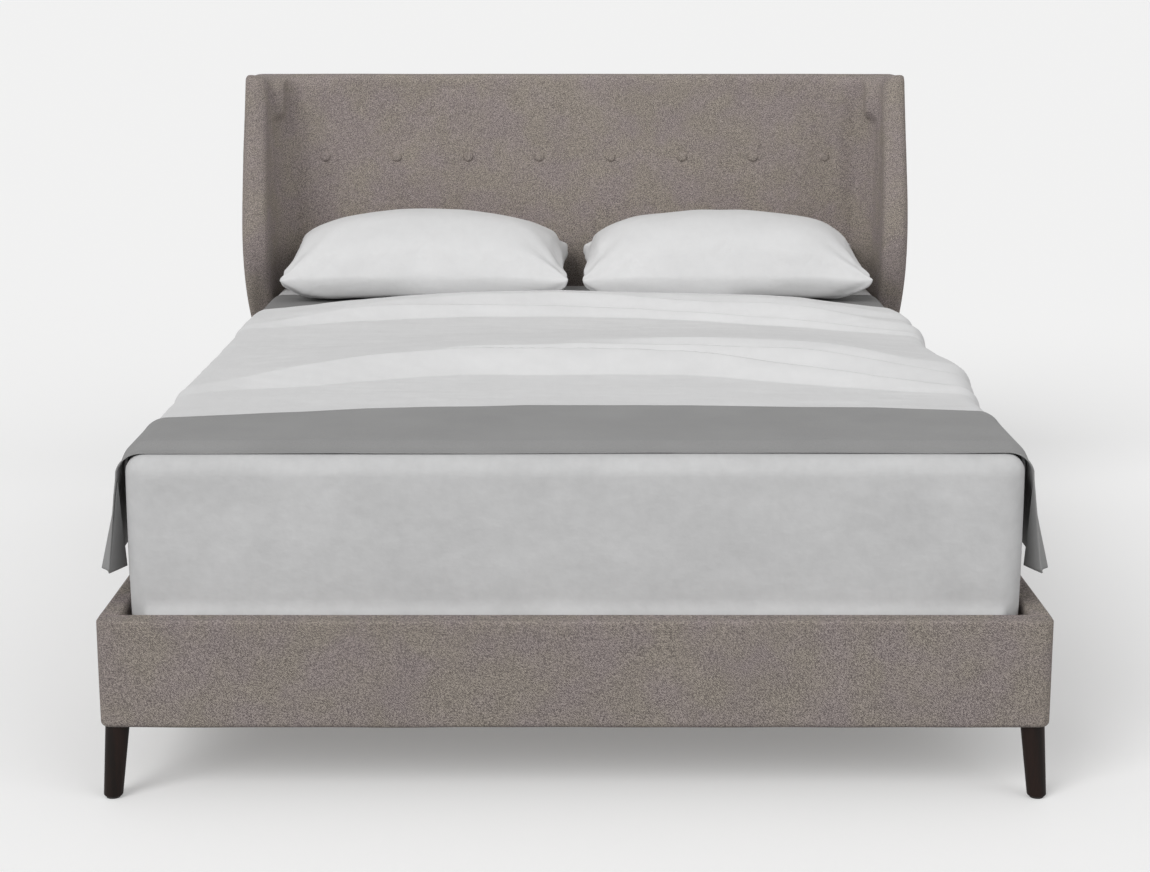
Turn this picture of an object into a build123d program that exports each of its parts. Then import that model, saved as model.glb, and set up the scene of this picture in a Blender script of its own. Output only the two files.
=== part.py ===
from build123d import *
import os
from math import sqrt

# A double bed: a winged, buttoned headboard, padded side rails and footboard, four tapered legs,
# a slatted deck on a centre beam, a mattress with its bedding, and two pillows.
# All sizes are in millimetres. X is to the bed's right side seen from the foot, Y runs from foot to
# head, Z is up. The origin is on the floor under the middle of the bed's box.

os.makedirs("parts", exist_ok=True)

# Driving dimensions of the whole bed
mattress_width = 1524.0
mattress_length = 2032.0
mattress_height = 295.0
frame_clearance = 129.0
rail_height = 190.0
rail_thickness = 36.0
side_gap = 9.0
foot_gap = 17.0
head_gap = 27.0
footboard_thickness = 42.0
headboard_thickness = 75.0
headboard_height = 1122.0

# Headboard form
wing_reach = 200.0
wing_thickness = 31.0
wing_knee_swell = 32.0
wing_foot_gap = 9.0
wing_top_rise = 22.0
wing_hollow_radius = 98.0
wing_edge_share = 0.44
wing_edge_reach_share = 0.5
wing_hollow_fit_share = 0.95
headboard_back_radius = 20.0
headboard_top_radius = 12.0

# Each row: height up the wing, reach of the front edge, and width, as shares of the wing's own sizes
wing_station_shares = (
    (0.00, 0.08, 0.00),
    (0.075, 0.17, 0.30),
    (0.15, 0.34, 0.66),
    (0.225, 0.56, 0.90),
    (0.31, 0.80, 0.98),
    (0.395, 0.95, 1.00),
    (0.485, 1.00, 1.00),
    (0.60, 0.96, 0.97),
    (0.74, 0.84, 0.89),
    (0.88, 0.70, 0.79),
    (1.00, 0.60, 0.70),
)
wing_overrun_shares = (1.06, 0.56, 0.66)

# Headboard layers, from the front face to the back
fabric_thickness = 2.0
foam_thickness = 22.0
panel_thickness = 9.0
lumber_depth = 40.0
lumber_width = 45.0
lumber_side_margin = 23.0
lumber_top_margin = 20.0
bottom_rail_height = 90.0
bottom_rail_lift = 49.0
mid_rail_height_share = 0.55
wing_board_thickness = 18.0
wing_board_inset = 18.0
wing_board_first_row = 3
upward_share = 0.8

# Buttons
button_count = 8
button_side_margin = 163.0
button_drop = 208.0
button_radius = 13.0
button_rim = 1.5
button_crown = 6.0
button_dome_share = 0.4
button_shank_radius = 2.0
button_toggle_radius = 10.0
button_toggle_thickness = 2.0
dimple_radius = 30.0
dimple_depth = 4.0
hole_clearance = 0.3

# Rails and footboard
pad_top = 12.0
pad_side = 6.0
pad_bottom = 3.0
foot_pad_front = 12.0
foot_pad_back = 8.0
foot_pad_end = 12.0
top_edge_radius = 6.0
rail_foot_radius = 9.0
rail_inner_foot_radius = 4.0
foot_corner_radius = 38.0
foot_board_corner_radius = 20.0
ledger_width = 25.0
ledger_height = 40.0
corner_block_size = 45.0

# Slats and what carries them
slat_count = 12
slat_width = 100.0
slat_thickness = 18.0
slat_edge_radius = 4.0
slat_end_gap = 2.0
slat_top = 289.0
strap_width = 25.0
strap_thickness = 1.5
strap_place_share = 0.5
beam_width = 50.0
beam_height = 60.0
beam_edge_radius = 4.0
bracket_thickness = 3.0
bracket_depth = 40.0
bracket_cheek_height = 48.0
bracket_plate_half_width = 45.0
bracket_plate_drop = 14.0
beam_end_gap = 0.5

# Rail brackets and bolts
rail_bracket_leg = 60.0
rail_bracket_height = 75.0
rail_bracket_drop = 7.0
rail_bolt_setback = 35.0
rail_bolt_rise_shares = (0.27, 0.73)
post_bolt_offset = 10.0
bolt_radius = 4.0
bolt_head_radius = 7.0
bolt_head_height = 4.0
bolt_bite = 18.0
block_rail_bolt_rise_shares = (0.22, 0.80)
block_foot_bolt_rise_shares = (0.40, 0.62)

# Legs
leg_top_radius = 20.5
leg_foot_radius = 16.25
leg_inset = 26.0
leg_setback = 29.0
leg_splay = 10.5
leg_foot_edge_radius = 4.0
glide_radius = 12.0
glide_thickness = 3.0
glide_edge = 0.8
leg_plate_radius = 12.0
hanger_bolt_radius = 3.0
hanger_bolt_rise = 32.0
hanger_bolt_drop = 30.0

# Centre legs and their levelling feet
centre_leg_radius = 20.0
centre_leg_place_share = 0.172
centre_leg_lift = 20.0
centre_leg_edge = 3.0
centre_leg_flange_radius = 25.0
centre_leg_flange_height = 8.0
leveller_pad_radius = 17.0
leveller_pad_height = 6.0
leveller_pad_edge = 2.0
leveller_collar_radius = 8.0
leveller_collar_height = 6.0
leveller_stem_radius = 4.0
leveller_stem_length = 43.0
leveller_bore_depth = 60.0

# Mattress
mattress_corner_radius = 45.0
mattress_edge_radius = 30.0
ticking_thickness = 3.0

# Bedding
sheet_thickness = 1.0
sheet_hem_lift = 8.0
blanket_thickness = 4.0
blanket_hem = 379.0
blanket_head_gap = 200.0
blanket_foot_gap = 90.0
coverlet_thickness = 6.0
coverlet_hem = 351.0
coverlet_head_gap = 195.0
coverlet_side_back = 220.0
coverlet_foot_gap = 78.0
coverlet_ridge_height = 12.0
coverlet_ridge_sweep = 180.0
coverlet_ridge_half_width_share = 0.96
skirt_fold_count = 5
skirt_fold_width = 130.0
skirt_fold_depth = 9.0
skirt_fold_top_share = 0.2
runner_thickness = 4.0
runner_foot_gap = 34.0
runner_width = 338.0
runner_side_width = 240.0
runner_tip_height = 368.0
runner_flare = 46.0
runner_flap_drop = 55.0
runner_fold_depth = 16.0
runner_fold_share = 0.42

# Each row: the low edge and the high edge of a cross ridge, as shares of the mattress length from its
# foot, and how high its crest stands, as a share of the ridge height
ridge_shares = (
    (0.345, 0.425, 0.8),
    (0.425, 0.500, 1.0),
    (0.675, 0.762, 1.0),
    (0.762, 0.815, 0.5),
)
ridge_back_share = 0.12
ridge_bow_share = 0.10
ridge_station_shares = (-1.0, -0.5, 0.0, 0.5, 1.0)
ridge_end_fade_share = 0.45

# Pillows
pillow_side_margin = 41.0
pillow_gap = 24.0
pillow_depth = 376.0
pillow_head_gap = 14.0
pillow_crown = 198.0
pillow_seat_clearance = 0.3

# Each row: place along the half width, depth, height of the seam, of the crown above the seam and of
# the underside, as shares of the pillow's own depth and crown
pillow_station_shares = (
    (0.00, 0.96, 0.27, 0.73, 0.00),
    (0.30, 0.97, 0.27, 0.71, 0.00),
    (0.58, 0.98, 0.27, 0.63, 0.00),
    (0.80, 0.99, 0.27, 0.48, 0.03),
    (0.93, 1.00, 0.275, 0.30, 0.09),
    (1.00, 0.99, 0.28, 0.17, 0.15),
)
pillow_back_rise_share = 0.24
pillow_foot_share = 0.045
pillow_belly_share = 0.25

# One overrun serves every cut
overrun = 20.0

# Places that follow from the driving dimensions
bed_length = footboard_thickness + foot_gap + mattress_length + head_gap + headboard_thickness
foot_front_y = -bed_length / 2
foot_back_y = foot_front_y + footboard_thickness
mattress_foot_y = foot_back_y + foot_gap
mattress_head_y = mattress_foot_y + mattress_length
head_face_y = mattress_head_y + head_gap
head_back_y = head_face_y + headboard_thickness
rail_inner_x = mattress_width / 2 + side_gap
frame_half_width = rail_inner_x + rail_thickness
wing_inner_half_width = frame_half_width - wing_thickness
knee_half_width = frame_half_width + wing_knee_swell
button_pitch = 2 * (frame_half_width - button_side_margin) / (button_count - 1)
button_height = headboard_height - button_drop
rail_top = frame_clearance + rail_height
wood_bottom = frame_clearance + pad_bottom
panel_front_y = head_face_y + fabric_thickness + foam_thickness
lumber_front_y = panel_front_y + panel_thickness
lumber_back_y = lumber_front_y + lumber_depth
lumber_half_width = frame_half_width - lumber_side_margin
lumber_top = headboard_height - lumber_top_margin
post_inner_x = lumber_half_width - lumber_width
wing_foot_z = rail_top + wing_foot_gap
wing_height = headboard_height - wing_foot_z
slat_bottom = slat_top - slat_thickness
beam_bottom = slat_bottom - beam_height
ledger_inner_x = rail_inner_x - ledger_width
block_inner_x = rail_inner_x - corner_block_size
block_head_y = foot_back_y + corner_block_size
board_front_y = foot_front_y + foot_pad_front
board_back_y = foot_back_y - foot_pad_back
board_half_width = frame_half_width - foot_pad_end
mattress_half_width = mattress_width / 2
strap_x = mattress_half_width * strap_place_share
centre_leg_offset = mattress_length * centre_leg_place_share
pillow_width = mattress_width / 2 - pillow_side_margin - pillow_gap / 2
mattress_top = slat_top + mattress_height
sheet_top = mattress_top + sheet_thickness
blanket_top = sheet_top + blanket_thickness
coverlet_top = blanket_top + coverlet_thickness
front_leg_x = frame_half_width - leg_inset
front_leg_y = foot_front_y + leg_setback
rear_leg_x = lumber_half_width - lumber_width / 2
rear_leg_y = lumber_front_y + lumber_depth / 2
leveller_top = leveller_pad_height + leveller_collar_height


def save(piece, name):
    """Label a finished piece and write it to its own file."""
    piece.part.label = name
    export_step(piece.part, f"parts/{name}.step")


def block(x_span, y_span, z_span, mode=Mode.ADD):
    """A plain squared piece between three pairs of places."""
    spans = [sorted(span) for span in (x_span, y_span, z_span)]
    sizes = [high - low for low, high in spans]
    middle = [(low + high) / 2 for low, high in spans]
    with Locations(tuple(middle)):
        return Box(*sizes, mode=mode)


def across(y):
    """The upright plane across the bed at a place along it, facing the foot."""
    return Plane.XZ.offset(-y)


def upright_hole(x, y, radius, z_span, mode=Mode.SUBTRACT):
    """A round hole, or a round pin, that stands upright between two heights."""
    low, high = z_span
    with Locations((x, y, low)):
        return Cylinder(radius, high - low, align=(Align.CENTER, Align.CENTER, Align.MIN), mode=mode)


# Places shared by several pieces


def button_xs():
    """Places of the buttons across the headboard."""
    return [(index - (button_count - 1) / 2) * button_pitch for index in range(button_count)]


def dimple_ball():
    """Radius of the ball that a button's dimple is part of."""
    return (dimple_radius**2 + dimple_depth**2) / (2 * dimple_depth)


def button_seat_y():
    """Depth at which a button's rim meets its dimple."""
    ball = dimple_ball()
    return head_face_y + dimple_depth - ball + sqrt(ball**2 - button_radius**2)


def leg_places():
    """Each leg's name, its place under the frame and the way its foot splays."""
    return (
        ("front_left", -front_leg_x, front_leg_y, -leg_splay, -leg_splay),
        ("front_right", front_leg_x, front_leg_y, leg_splay, -leg_splay),
        ("rear_left", -rear_leg_x, rear_leg_y, -leg_splay, 0),
        ("rear_right", rear_leg_x, rear_leg_y, leg_splay, 0),
    )


def bolt_places():
    """The plane under each frame bolt's head, facing down its shank, and the shank's length."""
    bracket_top = slat_bottom - ledger_height - rail_bracket_drop
    bracket_rises = [bracket_top - rail_bracket_height * share for share in rail_bolt_rise_shares]
    block_height = slat_bottom - wood_bottom
    places = []
    for side in (-1, 1):
        rail_way = (side, 0, 0)
        for rise in bracket_rises:
            at_rail = (side * (rail_inner_x - bracket_thickness), head_face_y - rail_bolt_setback, rise)
            at_post = (side * (rail_inner_x - post_bolt_offset), head_face_y - bracket_thickness, rise)
            rail_length = bracket_thickness + pad_side + bolt_bite
            post_length = bracket_thickness + fabric_thickness + foam_thickness + panel_thickness + bolt_bite
            places.append((Plane(at_rail, z_dir=rail_way), rail_length))
            places.append((Plane(at_post, z_dir=(0, 1, 0)), post_length))
        for share in block_rail_bolt_rise_shares:
            middle_y = (foot_back_y + block_head_y) / 2
            at_block = (side * block_inner_x, middle_y, wood_bottom + block_height * share)
            places.append((Plane(at_block, z_dir=rail_way), corner_block_size + pad_side + bolt_bite))
        for share in block_foot_bolt_rise_shares:
            middle_x = side * (rail_inner_x - corner_block_size / 2)
            at_block = (middle_x, block_head_y, wood_bottom + block_height * share)
            places.append((Plane(at_block, z_dir=(0, -1, 0)), corner_block_size + foot_pad_back + bolt_bite))
    return places


def drill_bolt_holes():
    """Cut the frame bolts' holes in the piece being made."""
    for place, length in bolt_places():
        with Locations(place.location):
            shank_align = (Align.CENTER, Align.CENTER, Align.MIN)
            Cylinder(bolt_radius, length, align=shank_align, mode=Mode.SUBTRACT)


def drill_button_holes():
    """Cut the holes that the buttons' shanks pass through."""
    for x in button_xs():
        with Locations(Plane((x, head_face_y, button_height), z_dir=(0, 1, 0)).location):
            depth = lumber_front_y - head_face_y
            Cylinder(
                button_shank_radius + hole_clearance,
                depth,
                align=(Align.CENTER, Align.CENTER, Align.MIN),
                mode=Mode.SUBTRACT,
            )


def drill_leg_holes():
    """Cut the holes that the legs' hanger bolts screw into."""
    z_span = (frame_clearance - hanger_bolt_drop, frame_clearance + hanger_bolt_rise)
    for _, x, y, _, _ in leg_places():
        upright_hole(x, y, hanger_bolt_radius, z_span)


# Headboard


def wing_outline(station, inset):
    """Height, front edge and outer half width of the winged headboard at one station."""
    height_share, reach_share, width_share = station
    height = wing_foot_z + wing_height * height_share
    tip_y = head_face_y - wing_reach * reach_share + inset
    outer_x = frame_half_width + (knee_half_width - frame_half_width) * width_share - inset
    return height, tip_y, outer_x


def headboard_form(inset):
    """The headboard's outer form, with wings that swell to a knee, drawn in by an inset."""
    face_y = head_face_y + inset
    back_y = head_back_y - inset
    inner_x = wing_inner_half_width + inset
    top = headboard_height - inset
    with BuildPart() as form:
        for station in (*wing_station_shares, wing_overrun_shares):
            height, tip_y, outer_x = wing_outline(station, inset)
            reach = face_y - tip_y
            edge = min(wing_edge_share * (outer_x - inner_x), wing_edge_reach_share * reach)
            hollow = min(wing_hollow_radius, (reach - edge) * wing_hollow_fit_share)
            with BuildSketch(Plane.XY.offset(height)):
                with BuildLine():
                    Polyline(
                        (-outer_x, back_y),
                        (-outer_x, tip_y),
                        (-inner_x, tip_y),
                        (-inner_x, face_y),
                        (inner_x, face_y),
                        (inner_x, tip_y),
                        (outer_x, tip_y),
                        (outer_x, back_y),
                        close=True,
                    )
                make_face()
                fillet(vertices().group_by(Axis.Y)[-1], headboard_back_radius - inset)
                fillet(vertices().group_by(Axis.Y)[1], hollow)
                fillet(vertices().group_by(Axis.Y)[0], edge)
        loft()
        # The plain lower body between the rails' level and the foot of the wings
        with BuildSketch(Plane.XY.offset(frame_clearance)):
            with BuildLine():
                half = frame_half_width - inset
                Polyline((-half, back_y), (-half, face_y), (half, face_y), (half, back_y), close=True)
            make_face()
            fillet(vertices().group_by(Axis.Y)[-1], headboard_back_radius - inset)
        extrude(amount=wing_foot_z - frame_clearance)
        # The top edge: level over the panel, rising along each wing
        top_reach = wing_reach * wing_station_shares[-1][1]
        high = top + wing_height
        with BuildSketch(Plane.YZ):
            with BuildLine():
                level = Line((back_y + overrun, top), (head_face_y - foam_thickness, top))
                rise_end = (head_face_y - top_reach - overrun, top + wing_top_rise)
                rise = TangentArc(level @ 1, rise_end, tangent=level % 1)
                Polyline(rise @ 1, (rise_end[0], high), (back_y + overrun, high), level @ 0)
            make_face()
        extrude(amount=knee_half_width + overrun, both=True, mode=Mode.SUBTRACT)
        caps = [face for face in faces() if face.center().Z > top - overrun]
        caps = [face for face in caps if face.normal_at().Z > upward_share]
        rims = [edge for cap in caps for edge in cap.edges()]
        fillet([edge for edge in rims if rims.count(edge) == 1], headboard_top_radius - inset)
        # A shallow sewn dimple round each button
        ball_y = head_face_y + dimple_depth - dimple_ball()
        with Locations(*[(x, ball_y, button_height) for x in button_xs()]):
            Sphere(dimple_ball() + inset, mode=Mode.SUBTRACT)
    return form


def make_wing_board(side):
    """The shaped board inside one wing, from the post's side to just behind the wing's front edge."""
    x_low = min(side * lumber_half_width, side * (lumber_half_width + wing_board_thickness))
    back_y = lumber_front_y + lumber_depth / 2
    edge_points = []
    for station in wing_station_shares[wing_board_first_row:]:
        height, tip_y, _ = wing_outline(station, wing_board_inset)
        edge_points.append((tip_y, min(height, lumber_top)))
    with BuildPart() as board:
        with BuildSketch(Plane.YZ.offset(x_low)):
            with BuildLine():
                front = Spline(*edge_points)
                back_top = (back_y, lumber_top)
                back_foot = (back_y, edge_points[0][1])
                Polyline(front @ 1, back_top, back_foot, front @ 0)
            make_face()
        extrude(amount=wing_board_thickness)
    return board


def make_headboard_cover(outer, inner):
    """The sewn fabric skin, open where the back cloth closes it."""
    with BuildPart() as cover:
        add(outer.part)
        add(inner.part, mode=Mode.SUBTRACT)
        block(
            (-lumber_half_width, lumber_half_width),
            (lumber_back_y, head_back_y + overrun),
            (frame_clearance - overrun, lumber_top),
            Mode.SUBTRACT,
        )
        drill_button_holes()
        drill_bolt_holes()
    return cover


def make_headboard_foam(inner, wing_boards):
    """The padding between the fabric and the timber, filling the wings round their boards."""
    with BuildPart() as foam:
        add(inner.part)
        block(
            (-lumber_half_width, lumber_half_width),
            (panel_front_y, head_back_y + overrun),
            (frame_clearance - overrun, lumber_top),
            Mode.SUBTRACT,
        )
        for board in wing_boards:
            add(board.part, mode=Mode.SUBTRACT)
        drill_button_holes()
        drill_bolt_holes()
    return foam


def make_headboard_panel():
    """The plywood panel that backs the padding."""
    with BuildPart() as panel:
        block(
            (-lumber_half_width, lumber_half_width),
            (panel_front_y, lumber_front_y),
            (wood_bottom, lumber_top),
        )
        drill_button_holes()
        drill_bolt_holes()
    return panel


def make_headboard_post(side):
    """One upright of the headboard's timber frame, standing over a rear leg."""
    with BuildPart() as post:
        block(
            (side * post_inner_x, side * lumber_half_width),
            (lumber_front_y, lumber_back_y),
            (wood_bottom, lumber_top),
        )
        drill_bolt_holes()
        drill_leg_holes()
    return post


def make_headboard_rail(foot, height):
    """One cross rail between the headboard's posts."""
    with BuildPart() as rail:
        block((-post_inner_x, post_inner_x), (lumber_front_y, lumber_back_y), (foot, foot + height))
    return rail


def make_back_cloth():
    """The cloth panel that closes the headboard's back, flush with the wrapped fabric."""
    with BuildPart() as cloth:
        block(
            (-lumber_half_width, lumber_half_width),
            (lumber_back_y, head_back_y),
            (frame_clearance, lumber_top),
        )
    return cloth


def make_tuft_buttons():
    """Domed buttons, each on a shank that is held by a toggle behind the panel."""
    seat_y = button_seat_y()
    toggle_y = lumber_front_y - seat_y
    with BuildPart() as buttons:
        for x in button_xs():
            with BuildSketch(Plane((x, seat_y, button_height))):
                with BuildLine():
                    crown = (0, -button_rim - button_crown)
                    rim = (button_radius, -button_rim)
                    dome = SagittaArc(crown, rim, -button_crown * button_dome_share)
                    Polyline(
                        dome @ 1,
                        (button_radius, 0),
                        (button_shank_radius, 0),
                        (button_shank_radius, toggle_y),
                        (button_toggle_radius, toggle_y),
                        (button_toggle_radius, toggle_y + button_toggle_thickness),
                        (0, toggle_y + button_toggle_thickness),
                        crown,
                    )
                make_face()
            revolve(axis=Axis((x, 0, button_height), (0, 1, 0)))
    return buttons


# Side rails and footboard


def make_rail_board(side):
    """The timber inside one side rail."""
    inner_x = rail_inner_x + pad_side
    outer_x = frame_half_width - pad_side
    with BuildPart() as board:
        block(
            (side * inner_x, side * outer_x),
            (foot_back_y, head_face_y),
            (wood_bottom, rail_top - pad_top),
        )
        drill_bolt_holes()
    return board


def make_rail_cover(side, board):
    """One side rail's padded sleeve, with rounded edges."""
    with BuildPart() as cover:
        with BuildSketch(across(head_face_y)):
            with BuildLine():
                Polyline(
                    (side * rail_inner_x, frame_clearance),
                    (side * frame_half_width, frame_clearance),
                    (side * frame_half_width, rail_top),
                    (side * rail_inner_x, rail_top),
                    close=True,
                )
            make_face()
            top_pair = vertices().group_by(Axis.Y)[-1]
            fillet(top_pair, top_edge_radius)
            foot_pair = vertices().group_by(Axis.Y)[0].sort_by(lambda corner: abs(corner.X))
            fillet(foot_pair[-1], rail_foot_radius)
            foot_pair = vertices().group_by(Axis.Y)[0].sort_by(lambda corner: abs(corner.X))
            fillet(foot_pair[0], rail_inner_foot_radius)
        extrude(amount=head_face_y - foot_back_y)
        add(board.part, mode=Mode.SUBTRACT)
        drill_bolt_holes()
    return cover


def make_footboard_board():
    """The timber inside the footboard, with rounded front corners."""
    with BuildPart() as board:
        with BuildSketch(Plane.XY.offset(wood_bottom)):
            with Locations((0, (board_front_y + board_back_y) / 2)):
                Rectangle(2 * board_half_width, board_back_y - board_front_y)
            fillet(vertices().group_by(Axis.Y)[0], foot_board_corner_radius)
        extrude(amount=rail_top - pad_top - wood_bottom)
        drill_bolt_holes()
        drill_leg_holes()
    return board


def make_footboard_cover(board):
    """The footboard's padded wrap, rounded at its corners and edges."""
    with BuildPart() as cover:
        with BuildSketch(Plane.XY.offset(frame_clearance)):
            with Locations((0, (foot_front_y + foot_back_y) / 2)):
                Rectangle(2 * frame_half_width, footboard_thickness)
            fillet(vertices().group_by(Axis.Y)[0], foot_corner_radius)
        extrude(amount=rail_height)
        fillet(faces().sort_by(Axis.Z)[-1].edges(), top_edge_radius)
        foot_edges = faces().sort_by(Axis.Z)[0].edges().sort_by(Axis.Y)
        fillet(foot_edges[:-1], rail_foot_radius)
        add(board.part, mode=Mode.SUBTRACT)
        for _, x, y, _, _ in leg_places():
            upright_hole(x, y, leg_plate_radius, (frame_clearance, wood_bottom))
        drill_bolt_holes()
        drill_leg_holes()
    return cover


def make_corner_block(side):
    """The timber block that ties a side rail to the footboard."""
    with BuildPart() as corner:
        block(
            (side * block_inner_x, side * rail_inner_x),
            (foot_back_y, block_head_y),
            (wood_bottom, slat_bottom),
        )
        drill_bolt_holes()
    return corner


def make_slat_ledger(side):
    """The ledge along a side rail that the slats' ends lie on."""
    with BuildPart() as ledger:
        block(
            (side * ledger_inner_x, side * rail_inner_x),
            (block_head_y, head_face_y),
            (slat_bottom - ledger_height, slat_bottom),
        )
    return ledger


def make_rail_brackets():
    """The two steel angles that tie the side rails to the headboard's posts."""
    top = slat_bottom - ledger_height - rail_bracket_drop
    with BuildPart() as brackets:
        for side in (-1, 1):
            with BuildSketch(Plane.XY.offset(top - rail_bracket_height)):
                with BuildLine():
                    outer = side * rail_inner_x
                    inner = side * (rail_inner_x - bracket_thickness)
                    far = side * (rail_inner_x - rail_bracket_leg)
                    Polyline(
                        (outer, head_face_y),
                        (far, head_face_y),
                        (far, head_face_y - bracket_thickness),
                        (inner, head_face_y - bracket_thickness),
                        (inner, head_face_y - rail_bracket_leg),
                        (outer, head_face_y - rail_bracket_leg),
                        close=True,
                    )
                make_face()
            extrude(amount=rail_bracket_height)
        drill_bolt_holes()
    return brackets


def make_frame_bolts():
    """The bolts of the corner blocks and the rail brackets."""
    with BuildPart() as bolts:
        for place, length in bolt_places():
            with Locations(place.location):
                Cylinder(bolt_radius, length, align=(Align.CENTER, Align.CENTER, Align.MIN))
                Cylinder(bolt_head_radius, bolt_head_height, align=(Align.CENTER, Align.CENTER, Align.MAX))
    return bolts


# Slats, centre beam and centre legs


def make_slat(index):
    """One slat, counted from the foot."""
    pitch = (mattress_length - slat_width) / (slat_count - 1)
    low_y = mattress_foot_y + index * pitch
    half_length = rail_inner_x - slat_end_gap
    with BuildPart() as slat:
        block((-half_length, half_length), (low_y, low_y + slat_width), (slat_bottom, slat_top))
        fillet(edges().filter_by(Axis.X), slat_edge_radius)
    return slat


def make_slat_straps():
    """The two webbing straps stapled under the slats."""
    with BuildPart() as straps:
        for side in (-1, 1):
            inner_x = side * (strap_x - strap_width / 2)
            outer_x = side * (strap_x + strap_width / 2)
            y_span = (mattress_foot_y + slat_edge_radius, mattress_head_y - slat_edge_radius)
            block((inner_x, outer_x), y_span, (slat_bottom - strap_thickness, slat_bottom))
    return straps


def make_centre_beam():
    """The beam under the middle of the slats."""
    end_room = bracket_thickness + beam_end_gap
    with BuildPart() as beam:
        block(
            (-beam_width / 2, beam_width / 2),
            (foot_back_y + end_room, head_face_y - end_room),
            (beam_bottom, slat_bottom),
        )
        fillet(edges().filter_by(Axis.Y).group_by(Axis.Z)[0], beam_edge_radius)
    return beam


def make_beam_brackets():
    """The two steel hangers that hold the beam's ends."""
    inner_half = beam_width / 2 + beam_end_gap
    outer_half = inner_half + bracket_thickness
    floor_z = beam_bottom - bracket_thickness
    with BuildPart() as brackets:
        for wall_y, way in ((foot_back_y, 1), (head_face_y, -1)):
            plate_y = wall_y + way * bracket_thickness
            end_y = wall_y + way * bracket_depth
            block(
                (-bracket_plate_half_width, bracket_plate_half_width),
                (wall_y, plate_y),
                (floor_z - bracket_plate_drop, floor_z + bracket_cheek_height),
            )
            block((-outer_half, outer_half), (plate_y, end_y), (floor_z, floor_z + bracket_cheek_height))
            block(
                (-inner_half, inner_half),
                (plate_y, end_y + way * overrun),
                (beam_bottom, beam_bottom + beam_height),
                Mode.SUBTRACT,
            )
    return brackets


def make_centre_leg(y):
    """One turned leg under the beam, bored for its levelling foot."""
    bore_radius = leveller_stem_radius + hole_clearance
    bore_top = centre_leg_lift + leveller_bore_depth
    flange_foot = beam_bottom - centre_leg_flange_height
    with BuildPart() as leg:
        with BuildSketch(Plane((0, y, 0), x_dir=(1, 0, 0), z_dir=(0, -1, 0))):
            with BuildLine():
                Polyline(
                    (bore_radius, centre_leg_lift),
                    (centre_leg_radius - centre_leg_edge, centre_leg_lift),
                    (centre_leg_radius, centre_leg_lift + centre_leg_edge),
                    (centre_leg_radius, flange_foot),
                    (centre_leg_flange_radius, flange_foot),
                    (centre_leg_flange_radius, beam_bottom),
                    (0, beam_bottom),
                    (0, bore_top),
                    (bore_radius, bore_top),
                    close=True,
                )
            make_face()
        revolve(axis=Axis((0, y, 0), (0, 0, 1)))
    return leg


def make_leveller(y):
    """One levelling foot: a pad, a collar to turn it by and a stem in the leg's bore."""
    with BuildPart() as leveller:
        with BuildSketch(Plane((0, y, 0), x_dir=(1, 0, 0), z_dir=(0, -1, 0))):
            with BuildLine():
                Polyline(
                    (0, 0),
                    (leveller_pad_radius, 0),
                    (leveller_pad_radius, leveller_pad_height - leveller_pad_edge),
                    (leveller_pad_radius - leveller_pad_edge, leveller_pad_height),
                    (leveller_collar_radius, leveller_pad_height),
                    (leveller_collar_radius, leveller_top),
                    (leveller_stem_radius, leveller_top),
                    (leveller_stem_radius, leveller_top + leveller_stem_length),
                    (0, leveller_top + leveller_stem_length),
                    close=True,
                )
            make_face()
        revolve(axis=Axis((0, y, 0), (0, 0, 1)))
    return leveller


# Corner legs


def make_leg(x, y, splay_x, splay_y):
    """One round leg that tapers and splays towards its foot, cut level at both ends."""
    way = Vector(splay_x, splay_y, glide_thickness - frame_clearance)
    taper = (leg_top_radius - leg_foot_radius) / way.length
    reach = leg_top_radius + leg_splay + overrun
    with BuildPart() as leg:
        for distance in (-overrun, way.length + overrun):
            centre = Vector(x, y, frame_clearance) + way.normalized() * distance
            with BuildSketch(Plane(centre, z_dir=way)):
                Circle(leg_top_radius - taper * distance)
        loft(ruled=True)
        for z_span in (
            (frame_clearance, frame_clearance + 2 * overrun),
            (glide_thickness - 2 * overrun, glide_thickness),
        ):
            block((x - reach, x + reach), (y - reach, y + reach), z_span, Mode.SUBTRACT)
        fillet(edges().group_by(Axis.Z)[0], leg_foot_edge_radius)
        drill_leg_holes()
    return leg


def make_leg_plates():
    """The steel discs let in between the frame and each leg."""
    with BuildPart() as plates:
        for _, x, y, _, _ in leg_places():
            upright_hole(x, y, leg_plate_radius, (frame_clearance, wood_bottom), Mode.ADD)
        drill_leg_holes()
    return plates


def make_hanger_bolts():
    """The double-ended screws that hold the legs."""
    with BuildPart() as bolts:
        for _, x, y, _, _ in leg_places():
            z_span = (frame_clearance - hanger_bolt_drop, frame_clearance + hanger_bolt_rise)
            upright_hole(x, y, hanger_bolt_radius, z_span, Mode.ADD)
    return bolts


def make_leg_glides():
    """The pads that the legs stand on."""
    with BuildPart() as glides:
        for _, x, y, splay_x, splay_y in leg_places():
            upright_hole(x + splay_x, y + splay_y, glide_radius, (0, glide_thickness), Mode.ADD)
        fillet(edges().group_by(Axis.Z)[0], glide_edge)
    return glides


# Mattress and bedding


def mattress_form(inset):
    """The mattress block with rounded corners and edges, drawn in by an inset."""
    with BuildPart() as form:
        with BuildSketch(Plane.XY.offset(slat_top + inset)):
            with Locations((0, (mattress_foot_y + mattress_head_y) / 2)):
                RectangleRounded(
                    mattress_width - 2 * inset,
                    mattress_length - 2 * inset,
                    mattress_corner_radius - inset,
                )
        extrude(amount=mattress_height - 2 * inset)
        fillet(faces().filter_by(Axis.Z).edges(), mattress_edge_radius - inset)
    return form


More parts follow.
